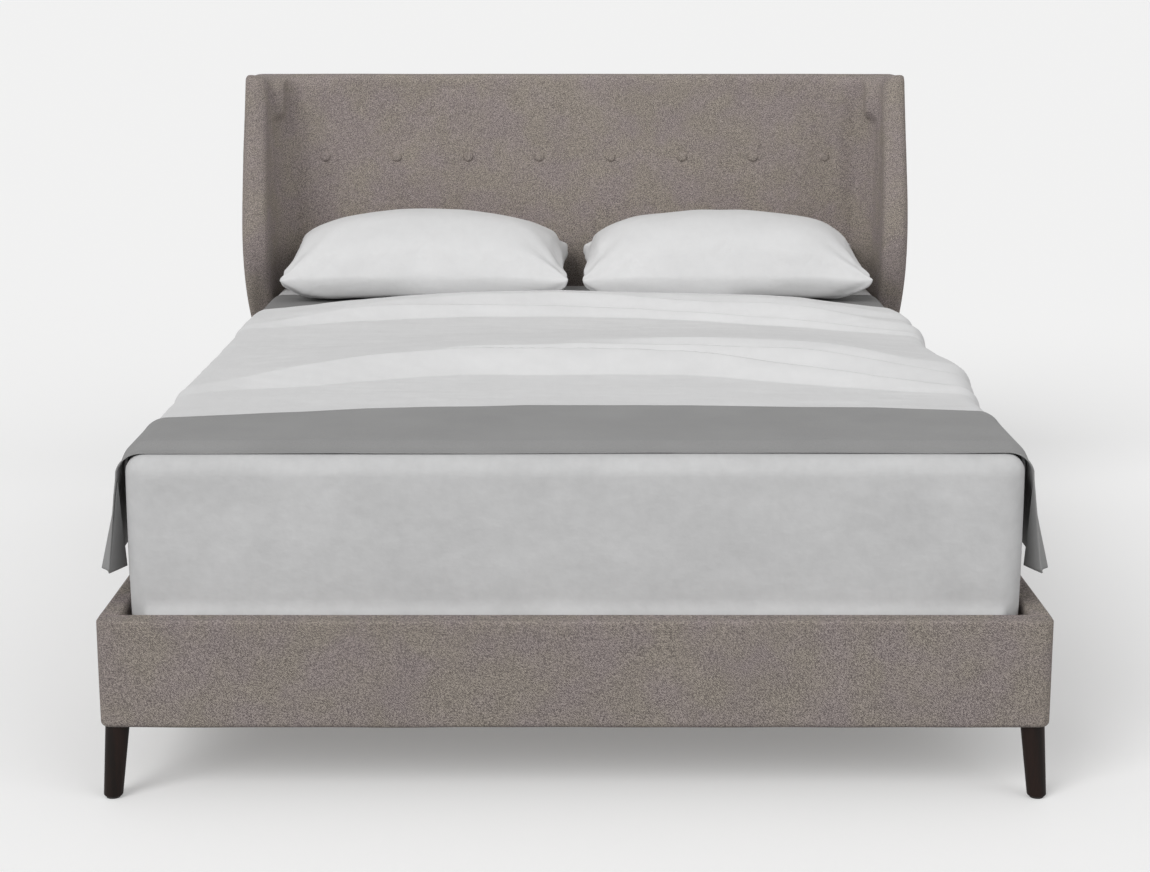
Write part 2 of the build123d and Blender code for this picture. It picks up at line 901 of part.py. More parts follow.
def make_mattress_cover(core):
    """The mattress's quilted ticking, as a closed skin."""
    with BuildPart() as cover:
        add(mattress_form(0).part)
        add(core.part, mode=Mode.SUBTRACT)
    return cover


def make_fitted_sheet():
    """The sheet stretched over the mattress's top and sides."""
    with BuildPart() as sheet:
        add(mattress_form(-sheet_thickness).part)
        add(mattress_form(0).part, mode=Mode.SUBTRACT)
        block(
            (-mattress_width, mattress_width),
            (-bed_length, bed_length),
            (0, slat_top + sheet_hem_lift),
            Mode.SUBTRACT,
        )
    return sheet


def bedding_layer(base, thickness, hem, y_span):
    """A cloth laid over the mattress and hanging at both sides, on a base at a given build-up."""
    inner_half = mattress_half_width + base
    inner_top = mattress_top + base
    low_y, high_y = y_span
    with BuildPart() as layer:
        with BuildSketch(across(high_y)):
            for half, top, foot, mode in (
                (inner_half + thickness, inner_top + thickness, hem, Mode.ADD),
                (inner_half, inner_top, hem - overrun, Mode.SUBTRACT),
            ):
                radius = mattress_edge_radius + half - mattress_half_width
                with BuildSketch(mode=Mode.PRIVATE) as profile:
                    with BuildLine():
                        Polyline((-half, foot), (half, foot), (half, top), (-half, top), close=True)
                    make_face()
                    fillet(vertices().group_by(Axis.Y)[-1], radius)
                add(profile.sketch, mode=mode)
        extrude(amount=high_y - low_y)
    return layer


def make_blanket():
    """The grey blanket, which shows as a strip below the pillows."""
    y_span = (mattress_foot_y + blanket_foot_gap, mattress_head_y - blanket_head_gap)
    return bedding_layer(sheet_thickness, blanket_thickness, blanket_hem, y_span)


def make_coverlet():
    """The white coverlet: cross ridges on top, soft folds at its sides, a swept head edge."""
    base = sheet_thickness + blanket_thickness
    half = mattress_half_width + base + coverlet_thickness
    foot_y = mattress_foot_y + coverlet_foot_gap
    head_y = mattress_head_y - coverlet_head_gap
    side_y = head_y - coverlet_side_back
    layer = bedding_layer(base, coverlet_thickness, coverlet_hem, (foot_y, head_y))
    with BuildPart() as coverlet:
        add(layer.part)
        # Cross ridges: a long rise towards the head and a short fall behind, swept back at the sides
        for low_share, high_share, crest_share in ridge_shares:
            for place_share in ridge_station_shares:
                x = place_share * half * coverlet_ridge_half_width_share
                sweep = coverlet_ridge_sweep * place_share**2
                low_y = mattress_foot_y + mattress_length * low_share - sweep
                high_y = mattress_foot_y + mattress_length * high_share - sweep
                fade = 1 - ridge_end_fade_share * place_share**2
                crest = coverlet_top + coverlet_ridge_height * crest_share * fade
                crest_y = high_y - (high_y - low_y) * ridge_back_share
                sunk = coverlet_top - coverlet_thickness / 2
                with BuildSketch(Plane.YZ.offset(x)):
                    with BuildLine():
                        bow = (crest - coverlet_top) * ridge_bow_share
                        middle = ((low_y + crest_y) / 2, (coverlet_top + crest) / 2 + bow)
                        ThreePointArc((low_y, coverlet_top), middle, (crest_y, crest))
                        Polyline(
                            (crest_y, crest),
                            (high_y, coverlet_top),
                            (high_y, sunk),
                            (low_y, sunk),
                            (low_y, coverlet_top),
                        )
                    make_face()
            loft()
        # Soft upright folds down each side between the runner and the head edge, deepest at the hem
        runner_side_y = mattress_foot_y + runner_foot_gap + runner_side_width
        pitch = (side_y - runner_side_y) / skirt_fold_count
        for side in (-1, 1):
            for index in range(skirt_fold_count):
                fold_y = runner_side_y + (index + 1 / 2) * pitch
                for height, share in (
                    (coverlet_hem, 1),
                    (coverlet_top - mattress_corner_radius - coverlet_thickness, skirt_fold_top_share),
                ):
                    width = skirt_fold_width * share
                    with BuildSketch(Plane.XY.offset(height)):
                        with BuildLine():
                            wall = side * (half - coverlet_thickness / 2)
                            crest = side * (half + skirt_fold_depth * share)
                            ends = ((wall, fold_y - width / 2), (wall, fold_y + width / 2))
                            ThreePointArc(ends[0], (crest, fold_y), ends[1])
                            Line(*ends)
                        make_face()
                loft()
        # The head edge sweeps back from the middle to the sides
        with BuildSketch(Plane.XY.offset(coverlet_hem - overrun)):
            with BuildLine():
                reach = half + overrun
                ThreePointArc((-reach, side_y), (0, head_y), (reach, side_y))
                far_y = head_y + overrun
                Polyline((reach, side_y), (reach, far_y), (-reach, far_y), (-reach, side_y))
            make_face()
        extrude(amount=coverlet_top, mode=Mode.SUBTRACT)
    return coverlet


def make_runner():
    """The grey runner across the foot, with flared flaps that hang at both sides."""
    base = sheet_thickness + blanket_thickness + coverlet_thickness
    inner_half = mattress_half_width + base
    outer_half = inner_half + runner_thickness
    foot_y = mattress_foot_y + runner_foot_gap
    head_y = foot_y + runner_width
    side_y = foot_y + runner_side_width
    flap_top = mattress_top - runner_flap_drop
    layer = bedding_layer(base, runner_thickness, flap_top, (foot_y, head_y))
    with BuildPart() as runner:
        add(layer.part)
        with BuildSketch(Plane.XY.offset(flap_top - overrun)):
            with BuildLine():
                reach = outer_half + overrun
                ThreePointArc((-reach, side_y), (0, head_y), (reach, side_y))
                far_y = head_y + overrun
                Polyline((reach, side_y), (reach, far_y), (-reach, far_y), (-reach, side_y))
            make_face()
        extrude(amount=coverlet_top, mode=Mode.SUBTRACT)
        for side in (-1, 1):
            fold_y = foot_y + (side_y - foot_y) * runner_fold_share
            for height, flare, dent in (
                (runner_tip_height, runner_flare, runner_fold_depth),
                (flap_top, 0, 0),
            ):
                with BuildSketch(Plane.XY.offset(height)):
                    with BuildLine():
                        inner = inner_half + flare
                        outer = outer_half + flare
                        Polyline(
                            (side * (inner - dent), foot_y),
                            (side * inner, fold_y),
                            (side * (inner - dent), side_y),
                            (side * (outer - dent), side_y),
                            (side * outer, fold_y),
                            (side * (outer - dent), foot_y),
                            close=True,
                        )
                    make_face()
            loft(ruled=True)
    return runner


def make_pillow(side):
    """One pillow: a crowned top, a drawn-in seam, thin pointed ends and a flat where it lies."""
    half_width = pillow_width / 2
    middle_x = side * (pillow_gap / 2 + half_width)
    middle_y = head_face_y - pillow_head_gap - pillow_depth / 2
    seat_z = coverlet_top + pillow_seat_clearance
    mirrored = [(-share, *rest) for share, *rest in reversed(pillow_station_shares[1:])]
    with BuildPart() as pillow:
        for place, depth_share, seam_share, crown_share, under_share in (*mirrored, *pillow_station_shares):
            front = middle_y - pillow_depth * depth_share / 2
            back = middle_y + pillow_depth * depth_share / 2
            foot_room = pillow_depth * pillow_foot_share
            foot_z = seat_z + pillow_crown * under_share
            front_seam = seat_z + pillow_crown * seam_share
            lift = pillow_crown * pillow_back_rise_share
            back_foot_z = foot_z + lift * under_share / pillow_station_shares[-1][-1]
            back_seam = front_seam + lift
            crown = front_seam + pillow_crown * crown_share
            belly = foot_room * pillow_belly_share
            with BuildSketch(Plane.YZ.offset(middle_x + place * half_width)):
                with BuildLine():
                    low_front = (front + foot_room, foot_z)
                    low_back = (back - foot_room, back_foot_z)
                    Line(low_back, low_front)
                    ThreePointArc(
                        low_front,
                        ((low_front[0] + front) / 2 - belly, (foot_z + front_seam) / 2),
                        (front, front_seam),
                    )
                    ThreePointArc((front, front_seam), (middle_y, crown), (back, back_seam))
                    ThreePointArc(
                        (back, back_seam),
                        ((low_back[0] + back) / 2 + belly, (back_foot_z + back_seam) / 2),
                        low_back,
                    )
                make_face()
        loft()
        block(
            (middle_x - pillow_width, middle_x + pillow_width),
            (middle_y - pillow_depth, middle_y + pillow_depth),
            (seat_z - overrun, seat_z),
            Mode.SUBTRACT,
        )
    return pillow


# The whole bed, piece by piece

outer_form = headboard_form(0)
inner_form = headboard_form(fabric_thickness)
wing_board_left = make_wing_board(-1)
wing_board_right = make_wing_board(1)
save(make_headboard_cover(outer_form, inner_form), "headboard_cover")
save(make_headboard_foam(inner_form, (wing_board_left, wing_board_right)), "headboard_foam")
save(wing_board_left, "wing_board_left")
save(wing_board_right, "wing_board_right")
save(make_headboard_panel(), "headboard_panel")
save(make_headboard_post(-1), "headboard_post_left")
save(make_headboard_post(1), "headboard_post_right")
mid_rail_foot = wood_bottom + (lumber_top - wood_bottom) * mid_rail_height_share
save(make_headboard_rail(lumber_top - lumber_width, lumber_width), "headboard_top_rail")
save(make_headboard_rail(mid_rail_foot, lumber_width), "headboard_mid_rail")
save(make_headboard_rail(frame_clearance + bottom_rail_lift, bottom_rail_height), "headboard_bottom_rail")
save(make_back_cloth(), "headboard_back_cloth")
save(make_tuft_buttons(), "tuft_buttons")

for side, side_name in ((-1, "left"), (1, "right")):
    rail_board = make_rail_board(side)
    save(rail_board, f"rail_board_{side_name}")
    save(make_rail_cover(side, rail_board), f"rail_cover_{side_name}")
    save(make_slat_ledger(side), f"slat_ledger_{side_name}")
    save(make_corner_block(side), f"corner_block_{side_name}")
    save(make_pillow(side), f"pillow_{side_name}")

footboard_board = make_footboard_board()
save(footboard_board, "footboard_board")
save(make_footboard_cover(footboard_board), "footboard_cover")
save(make_rail_brackets(), "rail_brackets")
save(make_frame_bolts(), "frame_bolts")

for slat_index in range(slat_count):
    save(make_slat(slat_index), f"slat_{slat_index + 1:02d}")
save(make_slat_straps(), "slat_straps")
save(make_centre_beam(), "centre_beam")
save(make_beam_brackets(), "beam_brackets")
for leg_y, end_name in ((-centre_leg_offset, "foot"), (centre_leg_offset, "head")):
    save(make_centre_leg(leg_y), f"centre_leg_{end_name}")
    save(make_leveller(leg_y), f"leveller_{end_name}")

for leg_name, leg_x, leg_y, splay_x, splay_y in leg_places():
    save(make_leg(leg_x, leg_y, splay_x, splay_y), f"leg_{leg_name}")
save(make_leg_plates(), "leg_plates")
save(make_hanger_bolts(), "hanger_bolts")
save(make_leg_glides(), "leg_glides")

mattress_core = mattress_form(ticking_thickness)
save(mattress_core, "mattress_core")
save(make_mattress_cover(mattress_core), "mattress_cover")
save(make_fitted_sheet(), "fitted_sheet")
save(make_blanket(), "blanket")
save(make_coverlet(), "coverlet")
save(make_runner(), "runner")
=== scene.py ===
import math

import bmesh
import bpy
import numpy as np
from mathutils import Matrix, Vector
from mathutils.bvhtree import BVHTree


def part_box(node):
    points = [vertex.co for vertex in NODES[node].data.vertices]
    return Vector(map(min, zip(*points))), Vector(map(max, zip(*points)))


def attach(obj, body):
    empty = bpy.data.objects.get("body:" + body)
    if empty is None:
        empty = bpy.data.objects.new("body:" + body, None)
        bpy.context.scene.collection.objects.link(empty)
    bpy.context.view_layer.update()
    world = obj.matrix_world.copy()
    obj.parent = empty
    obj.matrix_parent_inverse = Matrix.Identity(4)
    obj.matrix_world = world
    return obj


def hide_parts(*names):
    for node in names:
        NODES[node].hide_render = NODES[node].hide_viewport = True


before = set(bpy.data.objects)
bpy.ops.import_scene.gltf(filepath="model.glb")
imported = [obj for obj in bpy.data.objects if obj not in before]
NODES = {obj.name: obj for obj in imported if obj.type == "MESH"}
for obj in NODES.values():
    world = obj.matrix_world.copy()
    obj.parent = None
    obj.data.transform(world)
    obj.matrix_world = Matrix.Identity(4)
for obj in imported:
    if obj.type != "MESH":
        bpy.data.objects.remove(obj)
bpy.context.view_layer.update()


# Small helpers for shapes

def waves(points, wavelength, seed, count=14):
    """A smooth random field from -1 to 1 over any points, as a sum of slanting waves."""
    random = np.random.default_rng(seed)
    field = np.zeros(points.shape[:-1])
    for _ in range(count):
        way = random.normal(size=points.shape[-1])
        way /= np.linalg.norm(way)
        length = wavelength * random.uniform(0.7, 1.6)
        field += np.sin(points @ way * (2 * math.pi / length) + random.uniform(0, 2 * math.pi))
    return field / math.sqrt(count) / 1.6


def smooth(value, low, high):
    """0 below low, 1 above high, and a smooth step between them."""
    t = np.clip((value - low) / (high - low), 0, 1)
    return t * t * (3 - 2 * t)


def hump(value, middle, half):
    """A smooth bump of height 1."""
    return np.exp(-(((value - middle) / half) ** 2))


def linked(name, data):
    """A new object with this data, in the scene."""
    made = bpy.data.objects.new(name, data)
    bpy.context.scene.collection.objects.link(made)
    return made


def new_object(name, verts, faces):
    """A smooth-shaded mesh object in the scene."""
    mesh = bpy.data.meshes.new(name)
    mesh.from_pydata([tuple(v) for v in np.asarray(verts, float).reshape(-1, 3)], [], faces)
    mesh.validate()
    mesh.update()
    mesh.shade_smooth()
    return linked(name, mesh)


def grid_faces(rows, columns, wrap=False, start=0):
    """Four-sided faces between the rows of a grid, closed round on itself if it wraps."""
    faces = []
    last = columns if wrap else columns - 1
    for i in range(rows - 1):
        for j in range(last):
            k = (j + 1) % columns
            a = start + i * columns
            b = start + (i + 1) * columns
            faces.append((a + j, a + k, b + k, b + j))
    return faces


def cloth_grid(name, points):
    """A cloth from a grid of points."""
    rows, columns = points.shape[:2]
    return new_object(name, points.reshape(-1, 3), grid_faces(rows, columns))


def thicken(piece, thickness):
    """Give a sheet its thickness, on its inner side."""
    solid = piece.modifiers.new("thickness", "SOLIDIFY")
    solid.thickness = thickness
    solid.offset = -1.0
    solid.use_even_offset = False
    return piece


def subdivide(piece):
    """Round a mesh off by one subdivision."""
    sub = piece.modifiers.new("smooth", "SUBSURF")
    sub.levels = 1
    sub.render_levels = 1
    return piece


def baked(piece):
    """The piece with its modifiers applied."""
    graph = bpy.context.evaluated_depsgraph_get()
    mesh = bpy.data.meshes.new_from_object(piece.evaluated_get(graph))
    piece.modifiers.clear()
    piece.data = mesh
    return piece


def positions(mesh):
    """A mesh's points as an array."""
    points = np.zeros(len(mesh.vertices) * 3)
    mesh.vertices.foreach_get("co", points)
    return points.reshape(-1, 3)


def normals(mesh):
    """A mesh's outward ways at its points, as an array."""
    found = np.zeros(len(mesh.vertices) * 3)
    mesh.vertices.foreach_get("normal", found)
    return found.reshape(-1, 3)


def place(mesh, points):
    """Put a mesh's points where the array says."""
    mesh.vertices.foreach_set("co", np.asarray(points, float).ravel())
    mesh.update()


def joined_copy(name, *nodes):
    """A new object with copies of CAD nodes' meshes in it."""
    work = bmesh.new()
    for node in nodes:
        work.from_mesh(NODES[node].data)
    bmesh.ops.remove_doubles(work, verts=work.verts, dist=0.00001)
    mesh = bpy.data.meshes.new(name)
    work.to_mesh(mesh)
    work.free()
    return linked(name, mesh)


def remeshed(piece, voxel):
    """The piece with an even mesh of the voxel's size."""
    remesh = piece.modifiers.new("remesh", "REMESH")
    remesh.mode = "VOXEL"
    remesh.voxel_size = voxel
    remesh.use_smooth_shade = True
    return baked(piece)


def relaxed(piece, times, share=None):
    """Smooth the whole piece, or only as far as each point's own share says."""
    piece.vertex_groups.clear()
    soft = piece.modifiers.new("relax", "SMOOTH")
    if share is not None:
        group = piece.vertex_groups.new(name="relax")
        for index in np.flatnonzero(share > 0.01):
            group.add([int(index)], float(share[index]), "REPLACE")
        soft.vertex_group = "relax"
    soft.factor = 0.5
    soft.iterations = times
    return baked(piece)


def kept_over(piece, gap, node):
    """Push the piece out wherever it comes closer than the gap to the CAD node inside it."""
    boards = joined_copy("boards", node)
    corners = [vertex.co for vertex in boards.data.vertices]
    tree = BVHTree.FromPolygons(corners, [face.vertices for face in boards.data.polygons])
    low, high = np.min(positions(boards.data), axis=0), np.max(positions(boards.data), axis=0)
    bpy.data.objects.remove(boards)
    points, out = positions(piece.data), normals(piece.data)
    near = np.all((points > low - 2 * gap) & (points < high + 2 * gap), axis=1)
    for index in np.flatnonzero(near):
        hit, normal, _, distance = tree.find_nearest(Vector(points[index]), 0.05)
        if hit is None:
            continue
        outside = (Vector(points[index]) - hit).dot(normal) > 0
        short = gap - (distance if outside else -distance)
        if short > 0:
            points[index] += out[index] * short
    place(piece.data, points)
    return piece


def kept_clear(points, reach, back, turn):
    """Move points out of the path of a thing with rounded rear corners, which lifts off the bed."""
    points = points.copy()
    wide = np.abs(points[:, 0]) - (reach - turn)
    deep = points[:, 1] - (back - turn)
    far = np.hypot(wide, deep)
    corner = (wide > 0) & (deep > 0) & (far < turn)
    grow = turn / np.maximum(far, 0.0001)
    behind = (wide <= 0) & (deep < turn) & (deep > turn - 0.10)
    beside = (deep <= 0) & (wide < turn) & (wide > turn - 0.05)
    turned = np.sign(points[:, 0])
    points[corner, 0] = (turned * (reach - turn + wide * grow))[corner]
    points[corner, 1] = (back - turn + deep * grow)[corner]
    points[behind, 1] = back
    points[beside, 0] = (turned * reach)[beside]
    return points


def outline(x_span, y_span, radii, inset):
    """Points round a rounded rectangle, drawn in by an inset.

    The radii are those of the corners front left, front right, back right and back left.
    """
    x0, x1 = x_span[0] + inset, x_span[1] - inset
    y0, y1 = y_span[0] + inset, y_span[1] - inset
    limit = min(x1 - x0, y1 - y0) / 2 * 0.98
    r = [min(max(radius - inset, 0.0006), limit) for radius in radii]
    corners = (
        (x0 + r[0], y0 + r[0], r[0], 180),
        (x1 - r[1], y0 + r[1], r[1], 270),
        (x1 - r[2], y1 - r[2], r[2], 0),
        (x0 + r[3], y1 - r[3], r[3], 90),
    )
    path = []
    for cx, cy, radius, start in corners:
        for step in range(13):
            angle = math.radians(start + 90 * step / 12)
            path.append((cx + radius * math.cos(angle), cy + radius * math.sin(angle)))
    return np.array(path + path[:1])


def spread_outline(path, marks):
    """Points of a closed path at given shares of its own four sides and corners."""
    gaps = np.linalg.norm(np.diff(path, axis=0), axis=1)
    along = np.concatenate([[0], np.cumsum(gaps)])
    # The marks count along the path's stored points, so that rows of different insets line up
    at = np.interp(marks, np.arange(len(path)), along)
    return np.stack([np.interp(at, along, path[:, k]) for k in range(2)], axis=1)


def outline_marks(x_span, y_span, radii, spacing):
    """Places round the outline, close enough for the spacing, as numbers of its stored points."""
    path = outline(x_span, y_span, radii, 0.0)
    gaps = np.linalg.norm(np.diff(path, axis=0), axis=1)
    marks = []
    for index, gap in enumerate(gaps):
        steps = max(1, int(round(gap / spacing)))
        marks += list(index + np.arange(steps) / steps)
    return np.array(marks)


def stacked(name, x_span, y_span, radii, rows, spacing, cap_low=True, shrink=(0.25, 0.6, 0.9)):
    """A padded block as a stack of rounded outlines. rows: (height, inset) from the foot up."""
    marks = outline_marks(x_span, y_span, radii, spacing)
    limit = min(x_span[1] - x_span[0], y_span[1] - y_span[0]) / 2
    rings = []
    if cap_low:
        height, inset = rows[0]
        rings += [(height, inset + (limit - inset) * share) for share in reversed(shrink)]
    rings += list(rows)
    height, inset = rows[-1]
    rings += [(height, inset + (limit - inset) * share) for share in shrink]
    points = []
    for height, inset in rings:
        flat = spread_outline(outline(x_span, y_span, radii, inset), marks)
        points.append(np.column_stack([flat, np.full(len(flat), height)]))
    faces = grid_faces(len(rings), len(marks), wrap=True)
    piece = new_object(name, np.array(points), faces)
    work = bmesh.new()
    work.from_mesh(piece.data)
    half_way = (rows[0][0] + rows[-1][0]) / 2
    rims = [edge for edge in work.edges if edge.is_boundary]
    keep = [edge for edge in rims if cap_low or edge.verts[0].co.z > half_way]
    bmesh.ops.holes_fill(work, edges=keep, sides=0)
    bmesh.ops.recalc_face_normals(work, faces=work.faces)
    work.to_mesh(piece.data)
    work.free()
    piece.data.shade_smooth()
    return piece


def rounded_rows(low, high, low_radius, high_radius, spacing, steps=5):
    """Rows of (height, inset) with rounded lower and upper edges."""
    angles = [math.pi / 2 * step / steps for step in range(steps + 1)]
    rows = [(low + low_radius * (1 - math.cos(a)), low_radius * (1 - math.sin(a))) for a in angles]
    middle = np.arange(low + low_radius + spacing, high - high_radius - spacing / 2, spacing)
    rows += [(float(z), 0.0) for z in middle]
    rows += [(high - high_radius * (1 - math.sin(a)), high_radius * (1 - math.cos(a))) for a in angles]
    return rows


# Materials

class Nodes:
    """A short way to write a material's nodes."""

    def __init__(self, name):
        self.material = bpy.data.materials.new(name)
        self.material.use_nodes = True
        self.tree = self.material.node_tree
        self.shader = self.tree.nodes["Principled BSDF"]

    def add(self, kind, inputs=None, **settings):
        """A new node with its inputs and settings."""
        node = self.tree.nodes.new(kind)
        for key, value in settings.items():
            setattr(node, key, value)
        for key, value in (inputs or {}).items():
            self.put(node, key, value)
        return node

    def put(self, node, key, value):
        """Link or set one input."""
        socket = node.inputs[key]
        if isinstance(value, bpy.types.NodeSocket):
            self.tree.links.new(value, socket)
        else:
            socket.default_value = value

    def math(self, operation, *values, clamp=False):
        node = self.add("ShaderNodeMath", operation=operation, use_clamp=clamp)
        for index, value in enumerate(values):
            self.put(node, index, value)
        return node.outputs[0]

    def vector(self, operation, *values):
        node = self.add("ShaderNodeVectorMath", operation=operation)
        for index, value in enumerate(values):
            self.put(node, index, value)
        return node.outputs["Value"] if operation == "DOT_PRODUCT" else node.outputs["Vector"]

    def place(self):
        """The place on the object, in metres."""
        return self.add("ShaderNodeTexCoord").outputs["Object"]

    def turned(self, point, fast, slow):
        """The point in axes turned so that the first runs along the space diagonal."""
        a = 1 / math.sqrt(3)
        b = 1 / math.sqrt(2)
        c = 1 / math.sqrt(6)
        first = self.vector("DOT_PRODUCT", point, (a, a, a))
        second = self.vector("DOT_PRODUCT", point, (b, -b, 0))
        third = self.vector("DOT_PRODUCT", point, (c, c, -2 * c))
        parts = ((first, fast), (second, slow), (third, slow))
        scaled_parts = {k: self.math("MULTIPLY", part, rate) for k, (part, rate) in enumerate(parts)}
        return self.add("ShaderNodeCombineXYZ", scaled_parts).outputs[0]

    def noise(self, point, scale, detail=2.0, roughness=0.5):
        inputs = {"Vector": point, "Scale": scale, "Detail": detail, "Roughness": roughness}
        return self.add("ShaderNodeTexNoise", inputs).outputs[0]

    def stretched_noise(self, point, scales, detail=2.0, roughness=0.5):
        """Noise with its own scale along each axis, for threads and grain."""
        return self.noise(self.vector("MULTIPLY", point, scales), 1.0, detail, roughness)

    def lines(self, point, way, spacing):
        """Even lines at right angles to the way, from -1 to 1."""
        along = self.vector("DOT_PRODUCT", point, way)
        return self.math("SINE", self.math("MULTIPLY", along, 2 * math.pi / spacing))

    def total(self, start, *terms):
        """The start plus each term, which is a value, its middle and its gain."""
        tone = start
        for value, middle, gain in terms:
            part = self.math("MULTIPLY", self.math("SUBTRACT", value, middle), gain)
            tone = self.math("ADD", part, tone)
        return self.math("ADD", tone, 0.0, clamp=True)

    def ramp(self, value, *stops):
        """Colours for the value, from (position, colour) stops."""
        node = self.add("ShaderNodeValToRGB", {0: value})
        ramp = node.color_ramp
        while len(ramp.elements) > 1:
            ramp.elements.remove(ramp.elements[-1])
        ramp.elements[0].position = stops[0][0]
        ramp.elements[0].color = (*stops[0][1], 1)
        for position, colour in stops[1:]:
            element = ramp.elements.new(position)
            element.color = (*colour, 1)
        return node.outputs[0]

    def mix(self, factor, a, b, blend="MIX"):
        node = self.add("ShaderNodeMix", data_type="RGBA", blend_type=blend)
        self.put(node, "Factor", factor)
        self.put(node, 6, a)
        self.put(node, 7, b)
        return node.outputs[2]

    def bump(self, height, strength, distance, normal=None):
        inputs = {"Height": height, "Strength": strength, "Distance": distance}
        if normal is not None:
            inputs["Normal"] = normal
        return self.add("ShaderNodeBump", inputs).outputs[0]

    def finish(self, colour, roughness, normal=None, **sockets):
        """Set the shader's inputs and give back the material."""
        self.put(self.shader, "Base Color", colour)
        self.put(self.shader, "Roughness", roughness)
        if normal is not None:
            self.put(self.shader, "Normal", normal)
        for key, value in sockets.items():
            self.put(self.shader, key.replace("_", " "), value)
        return self.material


def scaled(colour, share):
    """The colour made lighter or darker."""
    return tuple(min(1.0, c * share) for c in colour)


def twill(name, colour):
    """Heathered wool twill: light and dark yarn flecks, cross threads, and warm and cool patches."""
    n = Nodes(name)
    point = n.place()
    fleck = n.noise(n.turned(point, 900.0, 360.0), 1.0, 2.0, 0.65)
    weft = n.stretched_noise(point, (340.0, 340.0, 1300.0), 2.0, 0.6)
    warp = n.stretched_noise(point, (1300.0, 1300.0, 340.0), 2.0, 0.6)
    slant = n.lines(point, (1.0, 1.0, 1.0), 0.0042)
    rows = n.lines(point, (0.2, 0.2, 1.0), 0.0052)
    patch = n.noise(point, 7.0, 3.0, 0.6)
    tone = n.total(
        0.5,
        (fleck, 0.5, 3.8),
        (weft, 0.5, 4.6),
        (warp, 0.5, 4.2),
        (slant, 0.0, 0.12),
        (rows, 0.0, 0.05),
        (patch, 0.5, 0.3),
    )
    dark = tuple(c * f for c, f in zip(colour, (0.52, 0.51, 0.52)))
    pale = tuple(c * f for c, f in zip(colour, (1.60, 1.60, 1.57)))
    shade = n.ramp(tone, (0.0, dark), (0.5, colour), (1.0, pale))
    cool, warm = (0.99, 0.975, 1.015), (1.01, 1.015, 0.965)
    tint = n.ramp(n.noise(point, 13.0, 2.0, 0.5), (0.36, cool), (0.64, warm))
    shade = n.mix(1.0, shade, tint, "MULTIPLY")
    height = n.math("ADD", n.math("MULTIPLY", fleck, 0.6), n.math("MULTIPLY", slant, 0.2))
    normal = n.bump(height, 0.5, 0.0012)
    return n.finish(shade, 0.94, normal, Specular_IOR_Level=0.15, Sheen_Weight=0.03, Sheen_Roughness=0.6)


def cotton(name, colour, wrinkle=0.35, weave=0.25, tint=0.05):
    """Plain woven cotton: a faint weave, soft creasing with painted shade in its hollows, and slight slub
    mottling.
    """
    n = Nodes(name)
    point = n.place()
    threads = n.stretched_noise(point, (900.0, 900.0, 900.0), 1.0)
    crease = n.stretched_noise(point, (9.0, 13.0, 11.0), 4.0, 0.55)
    slub = n.stretched_noise(point, (60.0, 8.0, 60.0))
    # The tone follows the crease height, so the crease hollows get painted shade; the slub adds real
    # mottling.
    tone = n.math("ADD", n.math("MULTIPLY", crease, 0.7), n.math("MULTIPLY", slub, 0.3))
    shade = n.ramp(tone, (0.32, scaled(colour, 1 - tint)), (0.68, scaled(colour, 1 + tint)))
    normal = n.bump(crease, wrinkle, 0.012, n.bump(threads, weave, 0.0004))
    return n.finish(shade, 0.88, normal, Specular_IOR_Level=0.2, Sheen_Weight=0.08, Sheen_Roughness=0.5)


def woven_grey(name, colour):
    """Close woven grey cloth with a slight rib."""
    n = Nodes(name)
    point = n.place()
    rib = n.lines(point, (1.0, 0.35, 1.0), 0.0026)
    fleck = n.noise(point, 620.0, 1.0, 0.5)
    patch = n.noise(point, 7.0, 3.0, 0.5)
    tone = n.math("ADD", n.math("MULTIPLY", fleck, 0.5), n.math("MULTIPLY", patch, 0.5))
    shade = n.ramp(tone, (0.25, scaled(colour, 0.88)), (0.75, scaled(colour, 1.12)))
    height = n.math("ADD", n.math("MULTIPLY", rib, 0.3), fleck)
    normal = n.bump(height, 0.35, 0.0006)
    return n.finish(shade, 0.9, normal, Specular_IOR_Level=0.2, Sheen_Weight=0.1, Sheen_Roughness=0.5)


def timber(name, light, dark, across, rough=0.55, grain=1.0):
    """Wood with long grain. across: how fast the grain changes along each axis."""
    n = Nodes(name)
    stretched = n.vector("MULTIPLY", n.place(), across)
    warp = n.math("MULTIPLY", n.noise(stretched, 0.35, 2.0, 0.5), 6.0)
    course = n.math("ADD", n.vector("DOT_PRODUCT", stretched, (1.0, 0.7, 0.9)), warp)
    rings = n.math("SINE", n.math("MULTIPLY", course, 1.9))
    pores = n.stretched_noise(stretched, (6.0, 6.0, 6.0), 3.0, 0.6)
    tone = n.math("ADD", n.math("MULTIPLY", rings, 0.22), pores)
    shade = n.ramp(tone, (0.25, dark), (0.8, light))
    limits = {"Value": pores, "To Min": rough - 0.06, "To Max": rough + 0.1}
    roughness = n.add("ShaderNodeMapRange", limits).outputs[0]
    return n.finish(shade, roughness, n.bump(pores, 0.25 * grain, 0.0006), Specular_IOR_Level=0.2)


def zinc(name):
    """Zinc-plated steel with a faint spangle."""
    n = Nodes(name)
    point = n.place()
    spangle = n.noise(point, 160.0, 3.0, 0.6)
    brushed = n.stretched_noise(point, (30.0, 900.0, 30.0))
    shade = n.ramp(spangle, (0.3, (0.42, 0.43, 0.45)), (0.7, (0.66, 0.67, 0.69)))
    rough = n.add("ShaderNodeMapRange", {"Value": brushed, "To Min": 0.28, "To Max": 0.5}).outputs[0]
    return n.finish(shade, rough, n.bump(brushed, 0.1, 0.0003), Metallic=1.0)


